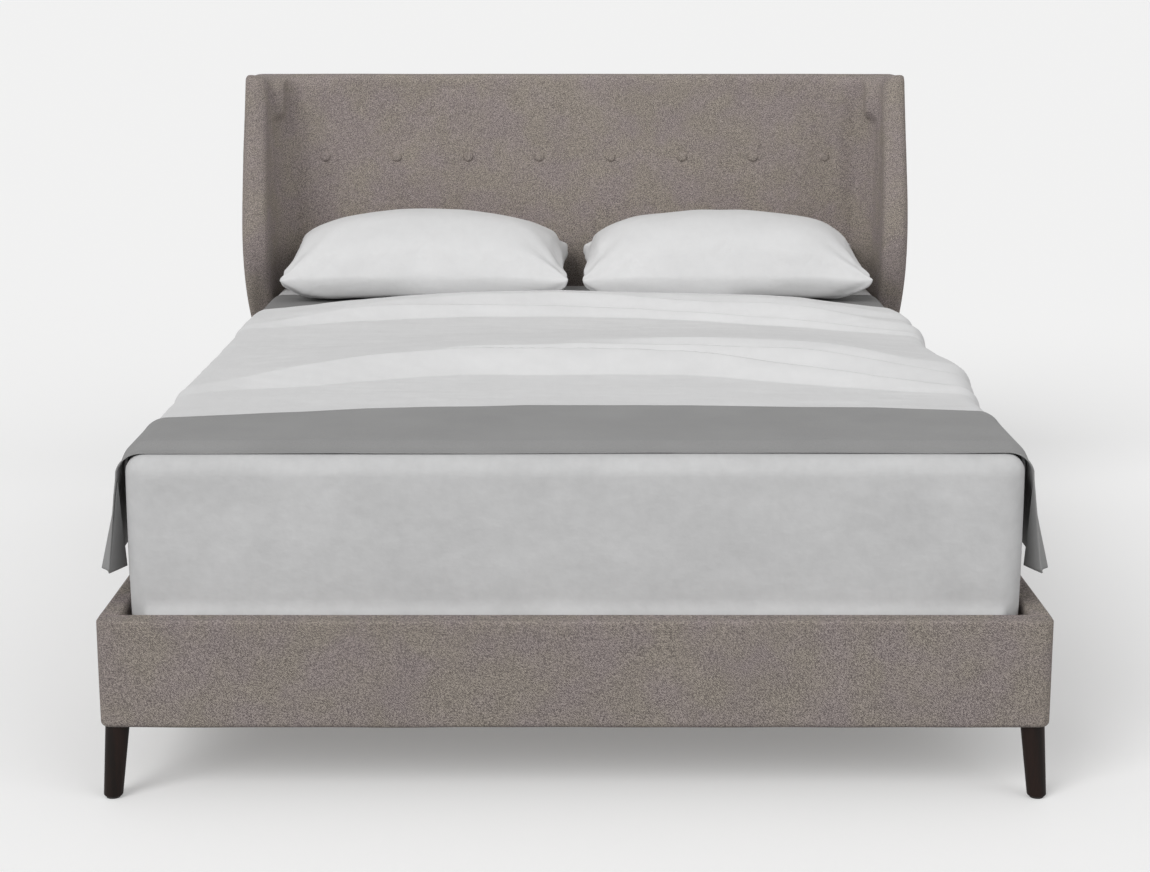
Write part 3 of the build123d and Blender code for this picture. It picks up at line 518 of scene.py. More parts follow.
def moulded(name, colour, rough=0.5):
    """Plain plastic or felt with a fine grain."""
    n = Nodes(name)
    point = n.place()
    grain = n.noise(point, 900.0, 2.0, 0.6)
    shade = n.ramp(grain, (0.3, scaled(colour, 0.8)), (0.7, scaled(colour, 1.25)))
    return n.finish(shade, rough, n.bump(grain, 0.25, 0.0004), Specular_IOR_Level=0.4)


def lining(name, colour):
    """Thin non-woven cloth stapled behind the headboard."""
    n = Nodes(name)
    point = n.place()
    fibre = n.noise(point, 380.0, 4.0, 0.7)
    dots = n.add("ShaderNodeTexVoronoi", {"Vector": point, "Scale": 420.0}).outputs["Distance"]
    shade = n.ramp(fibre, (0.3, scaled(colour, 0.75)), (0.7, scaled(colour, 1.5)))
    return n.finish(shade, 0.95, n.bump(n.math("ADD", fibre, dots), 0.3, 0.0006), Specular_IOR_Level=0.15)


TAUPE = (0.262, 0.229, 0.212)
PINE_LIGHT, PINE_DARK = (0.63, 0.47, 0.29), (0.44, 0.30, 0.165)
LEG_LIGHT, LEG_DARK = (0.0165, 0.0078, 0.0056), (0.0062, 0.0033, 0.0023)

upholstery = twill("upholstery_twill", TAUPE)
# The rails and footboard get a darker copy of the same twill: painted shade for the lower frame.
shaded_low_upholstery = twill("upholstery_twill_painted_shade", scaled(TAUPE, 0.93))
# The fitted sheet's white is set darker than the coverlet's: painted shade for the mattress's upright front
# face, which the sheet covers.
white_sheet = cotton("sheet_cotton", (0.555, 0.555, 0.557), 0.4, 0.25, 0.07)
white_cover = cotton("coverlet_cotton", (0.70, 0.70, 0.702), 0.15, 0.25, 0.03)
pillow_white = cotton("pillow_cotton", (0.675, 0.675, 0.677), 0.3, 0.2, 0.03)
runner_grey = woven_grey("runner_weave", (0.285, 0.284, 0.283))
blanket_grey = woven_grey("blanket_weave", (0.19, 0.188, 0.186))
ticking = cotton("mattress_ticking", (0.72, 0.72, 0.71), 0.4, 0.5, 0.04)
espresso = timber("leg_espresso", LEG_LIGHT, LEG_DARK, (60.0, 60.0, 7.0), 0.55, 0.6)
pine_x = timber("pine_across", PINE_LIGHT, PINE_DARK, (4.0, 70.0, 70.0), 0.62)
pine_y = timber("pine_along", PINE_LIGHT, PINE_DARK, (70.0, 4.0, 70.0), 0.62)
pine_z = timber("pine_upright", PINE_LIGHT, PINE_DARK, (70.0, 70.0, 4.0), 0.62)
ply = timber("plywood_sheet", (0.68, 0.53, 0.35), (0.52, 0.38, 0.22), (5.0, 60.0, 40.0), 0.65)
steel = zinc("zinc_plated_steel")
black_plastic = moulded("black_plastic", (0.030, 0.030, 0.031), 0.5)
glide_grey = moulded("glide_pad", (0.05, 0.046, 0.042), 0.8)
tape = lining("webbing_tape", (0.62, 0.60, 0.55))
black_lining = lining("back_lining", (0.052, 0.050, 0.048))

SIDES = ((-1, "left"), (1, "right"))


def paint(material, *nodes):
    """Give CAD nodes their finish."""
    for node in nodes:
        mesh = NODES[node].data
        mesh.materials.clear()
        mesh.materials.append(material)


def pairs(*names):
    """Each name with _left and with _right."""
    return [f"{name}_{side}" for name in names for _, side in SIDES]


paint(espresso, *pairs("leg_front", "leg_rear"))
paint(pine_x, "headboard_top_rail", "headboard_mid_rail", "headboard_bottom_rail", "footboard_board")
paint(pine_x, *[f"slat_{number:02d}" for number in range(1, 13)])
paint(pine_y, *pairs("rail_board", "slat_ledger"), "centre_beam")
paint(pine_z, *pairs("headboard_post", "corner_block"), "centre_leg_foot", "centre_leg_head")
paint(ply, "headboard_panel", *pairs("wing_board"))
paint(steel, "rail_brackets", "beam_brackets", "frame_bolts", "leg_plates", "hanger_bolts")
paint(black_plastic, "leveller_foot", "leveller_head")
paint(glide_grey, "leg_glides")
paint(tape, "slat_straps")


def dressed(piece, material, body, slot, *nodes):
    """Give a new piece its finish, its body and the CAD nodes that it stands for."""
    piece.data.materials.clear()
    piece.data.materials.append(material)
    if nodes:
        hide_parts(*nodes)
    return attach(piece, body)


# Headboard

FOAM_LOW, FOAM_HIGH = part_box("headboard_foam")
BUTTON_LOW, BUTTON_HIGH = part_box("tuft_buttons")
BUTTONS = 8
BUTTON_RADIUS = 0.013
PAD_VOXEL = 0.0065
WING_TURN = 0.745

# The upright paths of what lifts off the bed: half width, rear end and corner radius, with some room
MATTRESS_PATH = (0.7705, 1.0035, 0.050)
PILLOW_PATH = (0.741, 1.0160, 0.030)


def button_places():
    """Where the buttons' middles are, across and up."""
    reach = (BUTTON_HIGH.x - BUTTON_LOW.x) / 2 - BUTTON_RADIUS
    level = (BUTTON_LOW.z + BUTTON_HIGH.z) / 2
    return [(-reach + 2 * reach * number / (BUTTONS - 1), level) for number in range(BUTTONS)]


def filled_coves(piece):
    """Thicken the padding where each wing turns in, more so above the pillows, and smooth it there."""
    points, out = positions(piece.data), normals(piece.data)
    deep = FOAM_HIGH.y - 0.045
    wide = np.abs(points[:, 0])
    high_up = 0.25 + 0.75 * smooth(points[:, 2], 0.74, 0.86)
    inner = (points[:, 1] < deep) * (1 - smooth(wide, 0.755, 0.800))
    facing = smooth(-out[:, 1], 0.1, 0.7)
    points[:, 1] -= 0.036 * hump(wide, WING_TURN, 0.045) * facing * high_up * inner
    place(piece.data, points)
    cove = smooth(wide, 0.60, 0.68) * (1 - smooth(wide, 0.796, 0.822)) * (points[:, 1] < deep)
    piece = relaxed(piece, 90, cove)
    points = positions(piece.data)
    tip = 1 - smooth(points[:, 1], FOAM_LOW.y + 0.04, FOAM_LOW.y + 0.09)
    piece = relaxed(piece, 30, tip * (1 - smooth(np.abs(points[:, 0]), 0.800, 0.822)))
    return piece, cove


def with_room(piece, cove):
    """Keep the padding over the wings' boards, and out of the way of what lifts off the bed."""
    for gap in (0.007, 0.006):
        for board in pairs("wing_board"):
            piece = kept_over(piece, gap, board)
        piece = relaxed(piece, 3, cove)
    for times in (6, 3):
        points = positions(piece.data)
        passed = 1 - smooth(points[:, 2], 0.995, 1.035)
        points += (kept_clear(points, *MATTRESS_PATH) - points) * passed[:, None]
        place(piece.data, kept_clear(points, *PILLOW_PATH))
        piece = relaxed(piece, times, cove)
    return piece


def drawn_in(points, out):
    """Pull the cloth of the flat face in a little round each button, with fine pleats."""
    middle = (np.abs(points[:, 0]) < 0.5) & (out[:, 1] < -0.95)
    face = np.median(points[middle, 1])
    front = smooth(-out[:, 1], 0.5, 0.9) * (np.abs(points[:, 1] - face) < 0.02)
    for x, z in button_places():
        dx, dz = points[:, 0] - x, points[:, 2] - z
        distance = np.hypot(dx, dz)
        near = front * (1 - smooth(distance, 0.020, 0.034))
        points[:, 1] += near * 0.80 * (face - points[:, 1])
        points[:, 1] += front * 0.0009 * hump(distance, 0.0128, 0.004)
        pleat = np.cos(np.arctan2(dz, dx) * 5 + x * 40) * 0.0004 * hump(distance, 0.026, 0.012)
        points[:, 1] -= front * pleat
    return points


def headboard():
    """The padded headboard with its two wings."""
    piece = remeshed(joined_copy("headboard_upholstery", "headboard_foam"), PAD_VOXEL)
    piece, cove = filled_coves(relaxed(piece, 4))
    piece = with_room(piece, cove)
    points, out = positions(piece.data), normals(piece.data)
    points = points + out * 0.0021
    near_tip = 1 - smooth(points[:, 1], FOAM_LOW.y + 0.05, FOAM_LOW.y + 0.16)
    top_edge = smooth(points[:, 2], FOAM_HIGH.z - 0.05, FOAM_HIGH.z)
    points[:, 2] -= 0.0035 * near_tip * top_edge
    points = drawn_in(points, out)
    points += out * (waves(points, 0.22, 3) * 0.0006)[:, None]
    place(piece.data, points)
    return piece


def padded(piece, material, body, slot, fill, *nodes):
    return dressed(piece, material, body, slot, *nodes)


padded(headboard(), upholstery, "frame", "upholstery", 0.9, "headboard_cover", "headboard_foam")


# Each ring of a button's cap: its radius, and how far it lies behind the cap's front
BUTTON_RINGS = (
    (0.005, 0.0002),
    (0.009, 0.0008),
    (0.0112, 0.0018),
    (0.0124, 0.0034),
    (0.0126, 0.0062),
    (0.0112, 0.0090),
)
AROUND = 40


def button(work, number, x, z):
    """One covered button with a gathered rim, added to the mesh in work."""
    rings = []
    for radius, depth in BUTTON_RINGS:
        ring = []
        for step in range(AROUND):
            angle = 2 * math.pi * step / AROUND
            reach = radius * (1 + 0.02 * math.cos(angle * 9 + number) * (radius / 0.0127) ** 3)
            place_on_rim = (x + reach * math.cos(angle), BUTTON_LOW.y + depth, z + reach * math.sin(angle))
            ring.append(work.verts.new(place_on_rim))
        rings.append(ring)
    middle = work.verts.new((x, BUTTON_LOW.y, z))
    for step in range(AROUND):
        after = (step + 1) % AROUND
        work.faces.new((middle, rings[0][step], rings[0][after]))
        for inner, outer in zip(rings, rings[1:]):
            work.faces.new((inner[step], outer[step], outer[after], inner[after]))
    work.faces.new(rings[-1])


def buttons():
    """The row of fabric-covered buttons."""
    work = bmesh.new()
    for number, (x, z) in enumerate(button_places()):
        button(work, number, x, z)
    bmesh.ops.recalc_face_normals(work, faces=work.faces)
    mesh = bpy.data.meshes.new("covered_buttons")
    work.to_mesh(mesh)
    work.free()
    mesh.shade_smooth()
    return subdivide(linked("covered_buttons", mesh))


padded(buttons(), upholstery, "frame", "upholstery", 0.9, "tuft_buttons")


def back_cloth():
    """The lining behind the headboard, pulled flat, with its stapled hem."""
    low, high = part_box("headboard_back_cloth")
    xs = np.linspace(low.x, high.x, 160)
    zs = np.linspace(low.z, high.z, 100)
    x, z = np.meshgrid(xs, zs)
    edge = np.minimum.reduce([x - low.x, high.x - x, z - low.z, high.z - z])
    sag = smooth(edge, 0.0, 0.12)
    ripple = waves(np.stack([x, z], axis=-1), 0.35, 11) * 0.0003 * sag
    hem = 0.0004 * (1 - smooth(edge, 0.012, 0.016))
    y = high.y - 0.0006 - 0.0010 * sag + ripple + hem
    grid = np.stack([x, y, z], axis=-1)
    piece = cloth_grid("back_lining_cloth", grid[:, ::-1])
    return thicken(piece, 0.0006), (high.x - low.x, high.z - low.z)


lining_piece, lining_flat = back_cloth()
dressed(lining_piece, black_lining, "frame", "back_lining", "headboard_back_cloth")


# Rails and footboard

def side_rail(side, name):
    """A side rail's padded cover."""
    low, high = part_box(f"rail_cover_{name}")
    rows = rounded_rows(low.z, high.z, 0.007, 0.006, 0.012)
    spans = ((low.x, high.x), (low.y, high.y))
    piece = stacked(f"rail_upholstery_{name}", *spans, (0.0006,) * 4, rows, 0.012)
    points, out = positions(piece.data), normals(piece.data)
    along = points[:, 1]
    inner = smooth(along, low.y + 0.004, low.y + 0.03) * smooth(-along, -high.y + 0.004, -high.y + 0.03)
    points += out * (waves(points, 0.25, 21 + side) * 0.0005 * inner)[:, None]
    place(piece.data, points)
    return piece


for side, name in SIDES:
    padded(side_rail(side, name), shaded_low_upholstery, "frame", "upholstery", 0.8, f"rail_cover_{name}")


def footboard():
    """The footboard's padded cover, with a sewn edge along the front of its top."""
    low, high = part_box("footboard_cover")
    rows = rounded_rows(low.z, high.z, 0.009, 0.006, 0.008, 6)
    spans = ((low.x, high.x), (low.y, high.y))
    piece = stacked("footboard_upholstery", *spans, (0.038, 0.038, 0.002, 0.002), rows, 0.008)
    points, out = positions(piece.data), normals(piece.data)
    top = smooth(points[:, 2], high.z - 0.012, high.z - 0.004)
    points[:, 2] -= 0.0009 * hump(points[:, 1] - low.y, 0.0095, 0.0016) * top
    outer = smooth(-points[:, 1], -high.y + 0.004, -high.y + 0.02)
    points += out * (waves(points, 0.24, 31) * 0.0006 * outer)[:, None]
    place(piece.data, points)
    return piece


padded(footboard(), shaded_low_upholstery, "frame", "upholstery", 0.8, "footboard_cover")


# Mattress and bedding

MAT_LOW, MAT_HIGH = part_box("mattress_cover")


def mattress():
    """The mattress in its ticking, with a tape edge above and below."""
    rows = rounded_rows(MAT_LOW.z, MAT_HIGH.z, 0.03, 0.03, 0.02, 6)
    spans = ((MAT_LOW.x, MAT_HIGH.x), (MAT_LOW.y, MAT_HIGH.y))
    piece = stacked("mattress_block", *spans, (0.045,) * 4, rows, 0.02)
    points, out = positions(piece.data), normals(piece.data)
    for z in (MAT_LOW.z + 0.028, MAT_HIGH.z - 0.028):
        points += out * (0.0016 * hump(points[:, 2], z, 0.006))[:, None]
    points -= out * 0.0015
    place(piece.data, points)
    return piece


padded(mattress(), ticking, "mattress", "ticking", 0.95, "mattress_cover", "mattress_core")


def fitted_sheet():
    """The sheet over the mattress: taut, with a few soft pulls and a gathered lower edge."""
    low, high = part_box("fitted_sheet")
    spacing, bend = 0.009, 0.031
    rows = [(low.z + 0.004 * step, 0.0) for step in range(8)]
    rows += [(float(z), 0.0) for z in np.arange(low.z + 0.036, high.z - bend, spacing)]
    turns = [math.pi / 2 * step / 8 for step in range(9)]
    rows += [(high.z - bend * (1 - math.sin(a)), bend * (1 - math.cos(a))) for a in turns]
    spans = ((low.x, high.x), (low.y, high.y))
    shrink = (0.03, 0.07, 0.13, 0.2, 0.3, 0.45, 0.65, 0.9)
    piece = stacked("fitted_sheet_cloth", *spans, (0.046,) * 4, rows, spacing, cap_low=False, shrink=shrink)
    points, out = positions(piece.data), normals(piece.data)
    side = smooth(1 - np.abs(out[:, 2]), 0.3, 0.8)
    level = (points[:, 2] - low.z) / (high.z - low.z)
    # The padding swells a little between its edges, less so under the blanket at the sides
    swell = 0.0035 * np.sin(np.clip(level, 0, 1) * math.pi) ** 0.8
    flat = points.copy()
    flat[:, 2] *= 0.35
    pulls = waves(flat, 0.10, 41) * 0.0006 + waves(flat, 0.33, 42) * 0.0012
    calm = 1 - 0.65 * smooth(np.abs(out[:, 0]), 0.6, 0.95)
    # At the foot the lower hem turns out over the tape edge
    hem = 0.0125 * (1 - smooth(points[:, 2], low.z + 0.010, low.z + 0.040))
    hem = hem * (1 + 0.15 * waves(flat * (1, 1, 0), 0.16, 43)) * smooth(-out[:, 1], 0.90, 0.995)
    points += out * (((swell + pulls) * calm + hem) * side)[:, None]
    place(piece.data, points)
    drop = high.z - low.z
    tucked = 2 * drop - 0.03
    return thicken(piece, 0.001), (high.x - low.x + tucked, high.y - low.y + tucked)


sheet_piece, sheet_flat = fitted_sheet()
dressed(sheet_piece, white_sheet, "mattress", "sheet_cotton", "fitted_sheet")


def draped_path(half, top, radius, hem, count):
    """The line that a cloth takes over the mattress, from its left hem to its right one.

    Gives the places along it from its middle, its points, its outward ways and its length.
    """
    side = top - radius - hem
    arc, flat = radius * math.pi / 2, 2 * (half - radius)
    total = side + arc + flat + arc + side
    s = np.linspace(0, total, count)
    x, z, nx, nz = (np.zeros(count) for _ in range(4))
    for index, value in enumerate(s):
        if value < side:
            nx[index], nz[index] = -1, 0
            x[index], z[index] = -half, hem + value
        elif value < side + arc:
            angle = (value - side) / radius
            nx[index], nz[index] = -math.cos(angle), math.sin(angle)
            x[index], z[index] = -half + radius + radius * nx[index], top - radius + radius * nz[index]
        elif value < side + arc + flat:
            nx[index], nz[index] = 0, 1
            x[index], z[index] = -half + radius + (value - side - arc), top
        elif value < side + 2 * arc + flat:
            angle = (value - side - arc - flat) / radius
            nx[index], nz[index] = math.sin(angle), math.cos(angle)
            x[index], z[index] = half - radius + radius * nx[index], top - radius + radius * nz[index]
        else:
            nx[index], nz[index] = 1, 0
            x[index], z[index] = half, top - radius - (value - side - 2 * arc - flat)
    return s - total / 2, x, z, nx, nz, total


def draped_grid(s, x, z, y):
    """A cloth's points along the path at places y along the bed, and their places on the flat cloth."""
    grid = np.stack([np.broadcast_to(x, y.shape), y, np.broadcast_to(z, y.shape)], axis=-1)
    return grid, np.stack([np.broadcast_to(s, y.shape), y], axis=-1)


def lifted(grid, nx, nz, lift):
    """The cloth's points moved outwards."""
    grid[..., 0] += nx[None, :] * lift
    grid[..., 2] += nz[None, :] * lift
    return grid


def draped(piece, flat, material, slot, node, under, **more):
    dressed(piece, material, "mattress", slot, node)


# The blanket's head edge dips between the pillows, where only the sheet is seen
BLANKET_ACROSS = (0.0, 0.08, 0.25, 0.50, 0.75, 1.0)
BLANKET_HEAD = (0.70, 0.70, 0.745, 0.785, 0.792, 0.78)


def blanket():
    """The grey blanket between the sheet and the coverlet."""
    low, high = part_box("blanket")
    s, x, z, nx, nz, total = draped_path(high.x + 0.0015, high.z - 0.0005, 0.035, low.z, 240)
    edge = np.interp(np.abs(s), BLANKET_ACROSS, BLANKET_HEAD) + 0.002 * np.sin(s * 9)
    share = np.linspace(0, 1, 160)
    grid, flat = draped_grid(s, x, z, low.y + (edge - low.y)[None, :] * share[:, None])
    grid = lifted(grid, nx, nz, waves(flat, 0.25, 51) * 0.0006 - 0.0006)
    return thicken(cloth_grid("blanket_cloth", grid), 0.0028), (total, high.y - low.y)


draped(*blanket(), blanket_grey, "blanket_wool", "blanket", "fitted_sheet_cloth")


ACROSS = (-0.75, -0.50, -0.25, 0.00, 0.25, 0.50, 0.75)

# Each cross fold: where it starts to rise, how long and how high its slope is, and how much stays
# behind its crest. The numbers of a row stand for the places of ACROSS, from the bed's left side.
FOLDS = (
    {
        "foot": (-0.52, -0.45, -0.32, -0.33, -0.34, -0.45, -0.54),
        "length": (0.05, 0.09, 0.085, 0.085, 0.080, 0.055, 0.035),
        "rise": (0.002, 0.034, 0.041, 0.041, 0.036, 0.026, 0.007),
        "stays": (0.7, 0.7, 0.40, 0.28, 0.28, 0.26, 0.3),
    },
    {
        "foot": (-0.45, -0.36, -0.225, -0.235, -0.25, -0.33, -0.46),
        "length": (0.02, 0.03, 0.045, 0.050, 0.055, 0.070, 0.060),
        "rise": (0.000, 0.000, 0.018, 0.028, 0.031, 0.034, 0.012),
        "stays": (0.9, 0.9, 0.9, 0.9, 0.55, 0.55, 0.5),
    },
    {
        "foot": (-0.30, -0.25, -0.15, -0.12, -0.175, -0.24, -0.37),
        "length": (0.03, 0.03, 0.03, 0.03, 0.045, 0.060, 0.060),
        "rise": (0.000, 0.000, 0.000, 0.000, 0.019, 0.023, 0.011),
        "stays": (0.9, 0.9, 0.9, 0.9, 0.9, 0.9, 0.9),
    },
    {
        "foot": (0.22, 0.34, 0.40, 0.41, 0.35, 0.26, 0.12),
        "length": (0.04, 0.055, 0.045, 0.045, 0.030, 0.030, 0.025),
        "rise": (0.002, 0.030, 0.023, 0.020, 0.016, 0.015, 0.005),
        "stays": (0.9, 0.6, 0.55, 0.6, 0.5, 0.5, 0.4),
    },
    {
        "foot": (0.30, 0.42, 0.475, 0.48, 0.395, 0.31, 0.17),
        "length": (0.03, 0.04, 0.060, 0.060, 0.055, 0.060, 0.050),
        "rise": (0.000, 0.006, 0.024, 0.028, 0.026, 0.029, 0.010),
        "stays": (0.9, 0.9, 0.9, 0.9, 0.5, 0.5, 0.6),
    },
    {
        "foot": (0.36, 0.48, 0.55, 0.56, 0.485, 0.42, 0.32),
        "length": (0.03, 0.03, 0.03, 0.04, 0.050, 0.050, 0.040),
        "rise": (0.000, 0.000, 0.000, 0.000, 0.014, 0.016, 0.007),
        "stays": (0.9, 0.9, 0.9, 0.9, 0.9, 0.9, 0.9),
    },
)
FOLD_DROP = 0.010
FOLD_TAIL = 0.46


def fold_row(fold, key, s):
    """A fold's own number at places across the bed, with soft turns between the stations."""
    fine = np.linspace(ACROSS[0], ACROSS[-1], 121)
    window = np.hanning(21) / np.hanning(21).sum()
    values = np.pad(np.interp(fine, ACROSS, fold[key]), 10, mode="edge")
    return np.interp(s, fine, np.convolve(values, window, mode="valid"))


def coverlet_height(y, s):
    """How high the cross folds lift the coverlet, at places along and across the bed."""
    height = np.zeros(np.broadcast(y, s).shape)
    for index, fold in enumerate(FOLDS):
        wander = 0.006 * np.sin(s * (9.0 + index) + index * 1.7)
        wander = wander + 0.0025 * np.sin(s * (27.0 + 3 * index) + index)
        foot = fold_row(fold, "foot", s) + wander
        length = fold_row(fold, "length", s)
        crest = foot + length
        up = np.clip((y - foot) / length, 0, 1)
        up = 0.8 * up + 0.2 * up * up * (3 - 2 * up)
        drop = smooth(y, crest, crest + FOLD_DROP)
        tail = 1 - smooth(y, crest + FOLD_DROP, crest + FOLD_TAIL)
        behind = (1 - drop) + fold_row(fold, "stays", s) * drop * tail
        height = height + fold_row(fold, "rise", s) * up * behind
    return height


# The coverlet's head edge is swept back towards the bed's sides
COVERLET_ACROSS = (0.0, 0.25, 0.39, 0.50, 0.62, 0.75, 1.0)
COVERLET_HEAD = (0.740, 0.704, 0.650, 0.596, 0.545, 0.507, 0.50)
COVERLET_LENGTH = 1.60


def coverlet():
    """The white coverlet: creased across, hanging at both sides, its head edge swept back."""
    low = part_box("coverlet")[0]
    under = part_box("blanket")[1]
    top, radius = under.z + 0.0055, 0.0405
    s, x, z, nx, nz, total = draped_path(under.x + 0.0055, top, radius, low.z, 430)
    share = np.linspace(0, 1, 560)
    edge = np.interp(np.abs(s), COVERLET_ACROSS, COVERLET_HEAD) + 0.004 * np.sin(s * 7.0 + 0.6)
    y = low.y + (edge - low.y)[None, :] * share[:, None]
    grid, flat = draped_grid(s, x, z, y)
    # Under the pillows it lies flat again
    lift = coverlet_height(y, flat[..., 0]) * (1 - smooth(y, 0.600, 0.628))
    ripples = waves(flat * (1.0, 1.8), 0.30, 61) * 0.0011 + waves(flat * (1.0, 2.4), 0.09, 62) * 0.0004
    lift += ripples * smooth(y, -0.72, -0.62)
    lift *= smooth(share, 0.0, 0.02)[:, None] * smooth(1 - share, 0.0, 0.012)[:, None]
    # Two soft bulges over the right shoulder, and upright folds in what hangs
    right = ((s > 0) * smooth(np.abs(nx), 0.15, 0.8))[None, :]
    lift += right * (0.007 * hump(y, -0.26, 0.10) + 0.004 * hump(y, 0.24, 0.12))
    hang = smooth(top - radius - grid[..., 2], 0.02, 0.20) * (np.abs(nx) > 0.5)[None, :]
    folds = 0.5 + 0.5 * np.sin(y * 2 * math.pi / 0.253 + np.sign(s)[None, :] * 0.9 + 1.1)
    away = smooth(y, -0.78, -0.70)
    lift = lift * (1 - 0.6 * hang) + hang * away * (0.006 * folds**2 + 0.001)
    grid = lifted(grid, nx, nz, np.maximum(lift, -0.0004))
    return thicken(cloth_grid("coverlet_cloth", grid), 0.0040), (total, COVERLET_LENGTH)


draped(*coverlet(), white_cover, "coverlet_cotton", "coverlet", "blanket_cloth")


RUNNER_LOW, RUNNER_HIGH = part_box("runner")
RUNNER_HALF = 0.7775
RUNNER_HEM = RUNNER_LOW.z + 0.008
RUNNER_FRONT = -1.0035
RUNNER_THICK = 0.0022
RUNNER_WIDTH = 0.30

# The runner's rear edge, across the bed from its left end to its right one
RUNNER_ACROSS = (-1.0, -0.80, -0.62, -0.38, -0.1, 0.25, 0.55, 0.78, 1.0)
RUNNER_BACK = (-0.79, -0.79, -0.752, -0.690, -0.664, -0.668, -0.688, -0.722, -0.752)

# How far the hem of a flap stands out, at places behind its front crease
FLAP_BEHIND = (0.0, 0.052, 0.11, 0.16, 0.25)
FLAP_FLARE = (0.021, 0.044, 0.046, 0.038, 0.028)


def runner():
    """The grey runner across the foot. Its ends hang off the sides, flared, with a crease at the front."""
    top, radius = RUNNER_HIGH.z + 0.0012, 0.0445
    s, x, z, nx, nz, total = draped_path(RUNNER_HALF, top, radius, RUNNER_HEM, 460)
    share = np.linspace(0, 1, 90)
    front = RUNNER_FRONT + 0.003 * np.sin(s * 3.0 + 0.5) + 0.0012 * np.sin(s * 8.0)
    back = np.interp(s, RUNNER_ACROSS, RUNNER_BACK)
    y = front[None, :] + (back - front)[None, :] * share[:, None]
    grid, flat = draped_grid(s, x, z, y)
    lift = waves(flat, 0.30, 71) * 0.0008 + waves(flat, 0.12, 72) * 0.0003
    lift += 0.0006 * (hump(share, 0.0, 0.012) + hump(share, 1.0, 0.012))[:, None]
    drop = np.clip((top - radius - grid[..., 2]) / (top - radius - RUNNER_HEM), 0, 1)
    hang = drop * (np.abs(nx) > 0.5)[None, :]
    hang = hang * smooth(hang, -0.2, 0.25)
    behind = y - front[None, :]
    flare = np.interp(behind, FLAP_BEHIND, FLAP_FLARE)
    lift = np.where(hang > 0, lift * (1 - hang) + hang * flare, lift)
    # Past the coverlet's foot edge the runner comes down onto the sheet
    lift = lift - 0.0125 * smooth(-y, 0.952, 0.992) * np.clip(nz, 0, 1)[None, :]
    grid = lifted(grid, nx, nz, lift)
    grid[..., 2] += hang * (0.004 * np.cos(behind * 2 * math.pi / 0.12))
    return thicken(cloth_grid("runner_cloth", grid), RUNNER_THICK), (total, RUNNER_WIDTH)


def runner_returns():
    """The turned-back front corners of the runner's flaps, between the crease and the mattress."""
    rows, columns = 30, 14
    fold_top = 0.539
    verts, faces = [], []
    for side, _ in SIDES:
        start = len(verts)
        for i in range(rows):
            down = i / (rows - 1)
            z = fold_top - (fold_top - RUNNER_HEM) * down
            for j in range(columns):
                inward = j / (columns - 1)
                x = RUNNER_HALF + 0.0215 * down - (0.0205 * down) * inward
                y = -1.0030 + 0.052 * down * inward + 0.004 * math.sin(inward * math.pi) * down
                verts.append((side * x, y, z - 0.001 * math.sin(inward * 3) * down))
        faces += grid_faces(rows, columns, start=start)
    return thicken(new_object("runner_flap_returns", verts, faces), RUNNER_THICK)


runner_piece, runner_flat = runner()
returns = dressed(runner_returns(), runner_grey, "mattress", "runner_weave")
runner_dress = (runner_grey, "runner_weave", "runner", "coverlet_cloth")
draped(runner_piece, runner_flat, *runner_dress, with_pieces=[returns])


# Pillows

PILLOW_VOXEL = 0.007
PILLOW_PRESSURE = 4.0
PILLOW_SWELL = 0.008
EAR_LOW = 0.015
EAR_HIGH = 0.006


def simulate(piece, pressure, cap, frames=20, stiffness=12.0):
    """Blow a closed cloth up a little, with no point moving further than the cap."""
    rest = positions(piece.data)
    cloth = piece.modifiers.new("cloth", "CLOTH")
    settings = cloth.settings
    settings.use_pressure = True
    settings.uniform_pressure_force = pressure
    settings.quality = 6
    settings.mass = 0.2
    settings.tension_stiffness = stiffness
    settings.compression_stiffness = stiffness
    settings.shear_stiffness = stiffness * 0.6
    settings.bending_stiffness = 0.4
    settings.effector_weights.gravity = 0.0
    cloth.collision_settings.use_collision = False
    cloth.collision_settings.use_self_collision = False
    cloth.point_cache.frame_start = 1
    cloth.point_cache.frame_end = frames
    scene = bpy.context.scene
    for number in range(1, frames + 1):
        scene.frame_set(number)
    piece = baked(piece)
    scene.frame_set(1)
    move = positions(piece.data) - rest
    size = np.linalg.norm(move, axis=1, keepdims=True)
    place(piece.data, rest + move * np.minimum(1, cap / np.maximum(size, 1e-9)))
    return piece


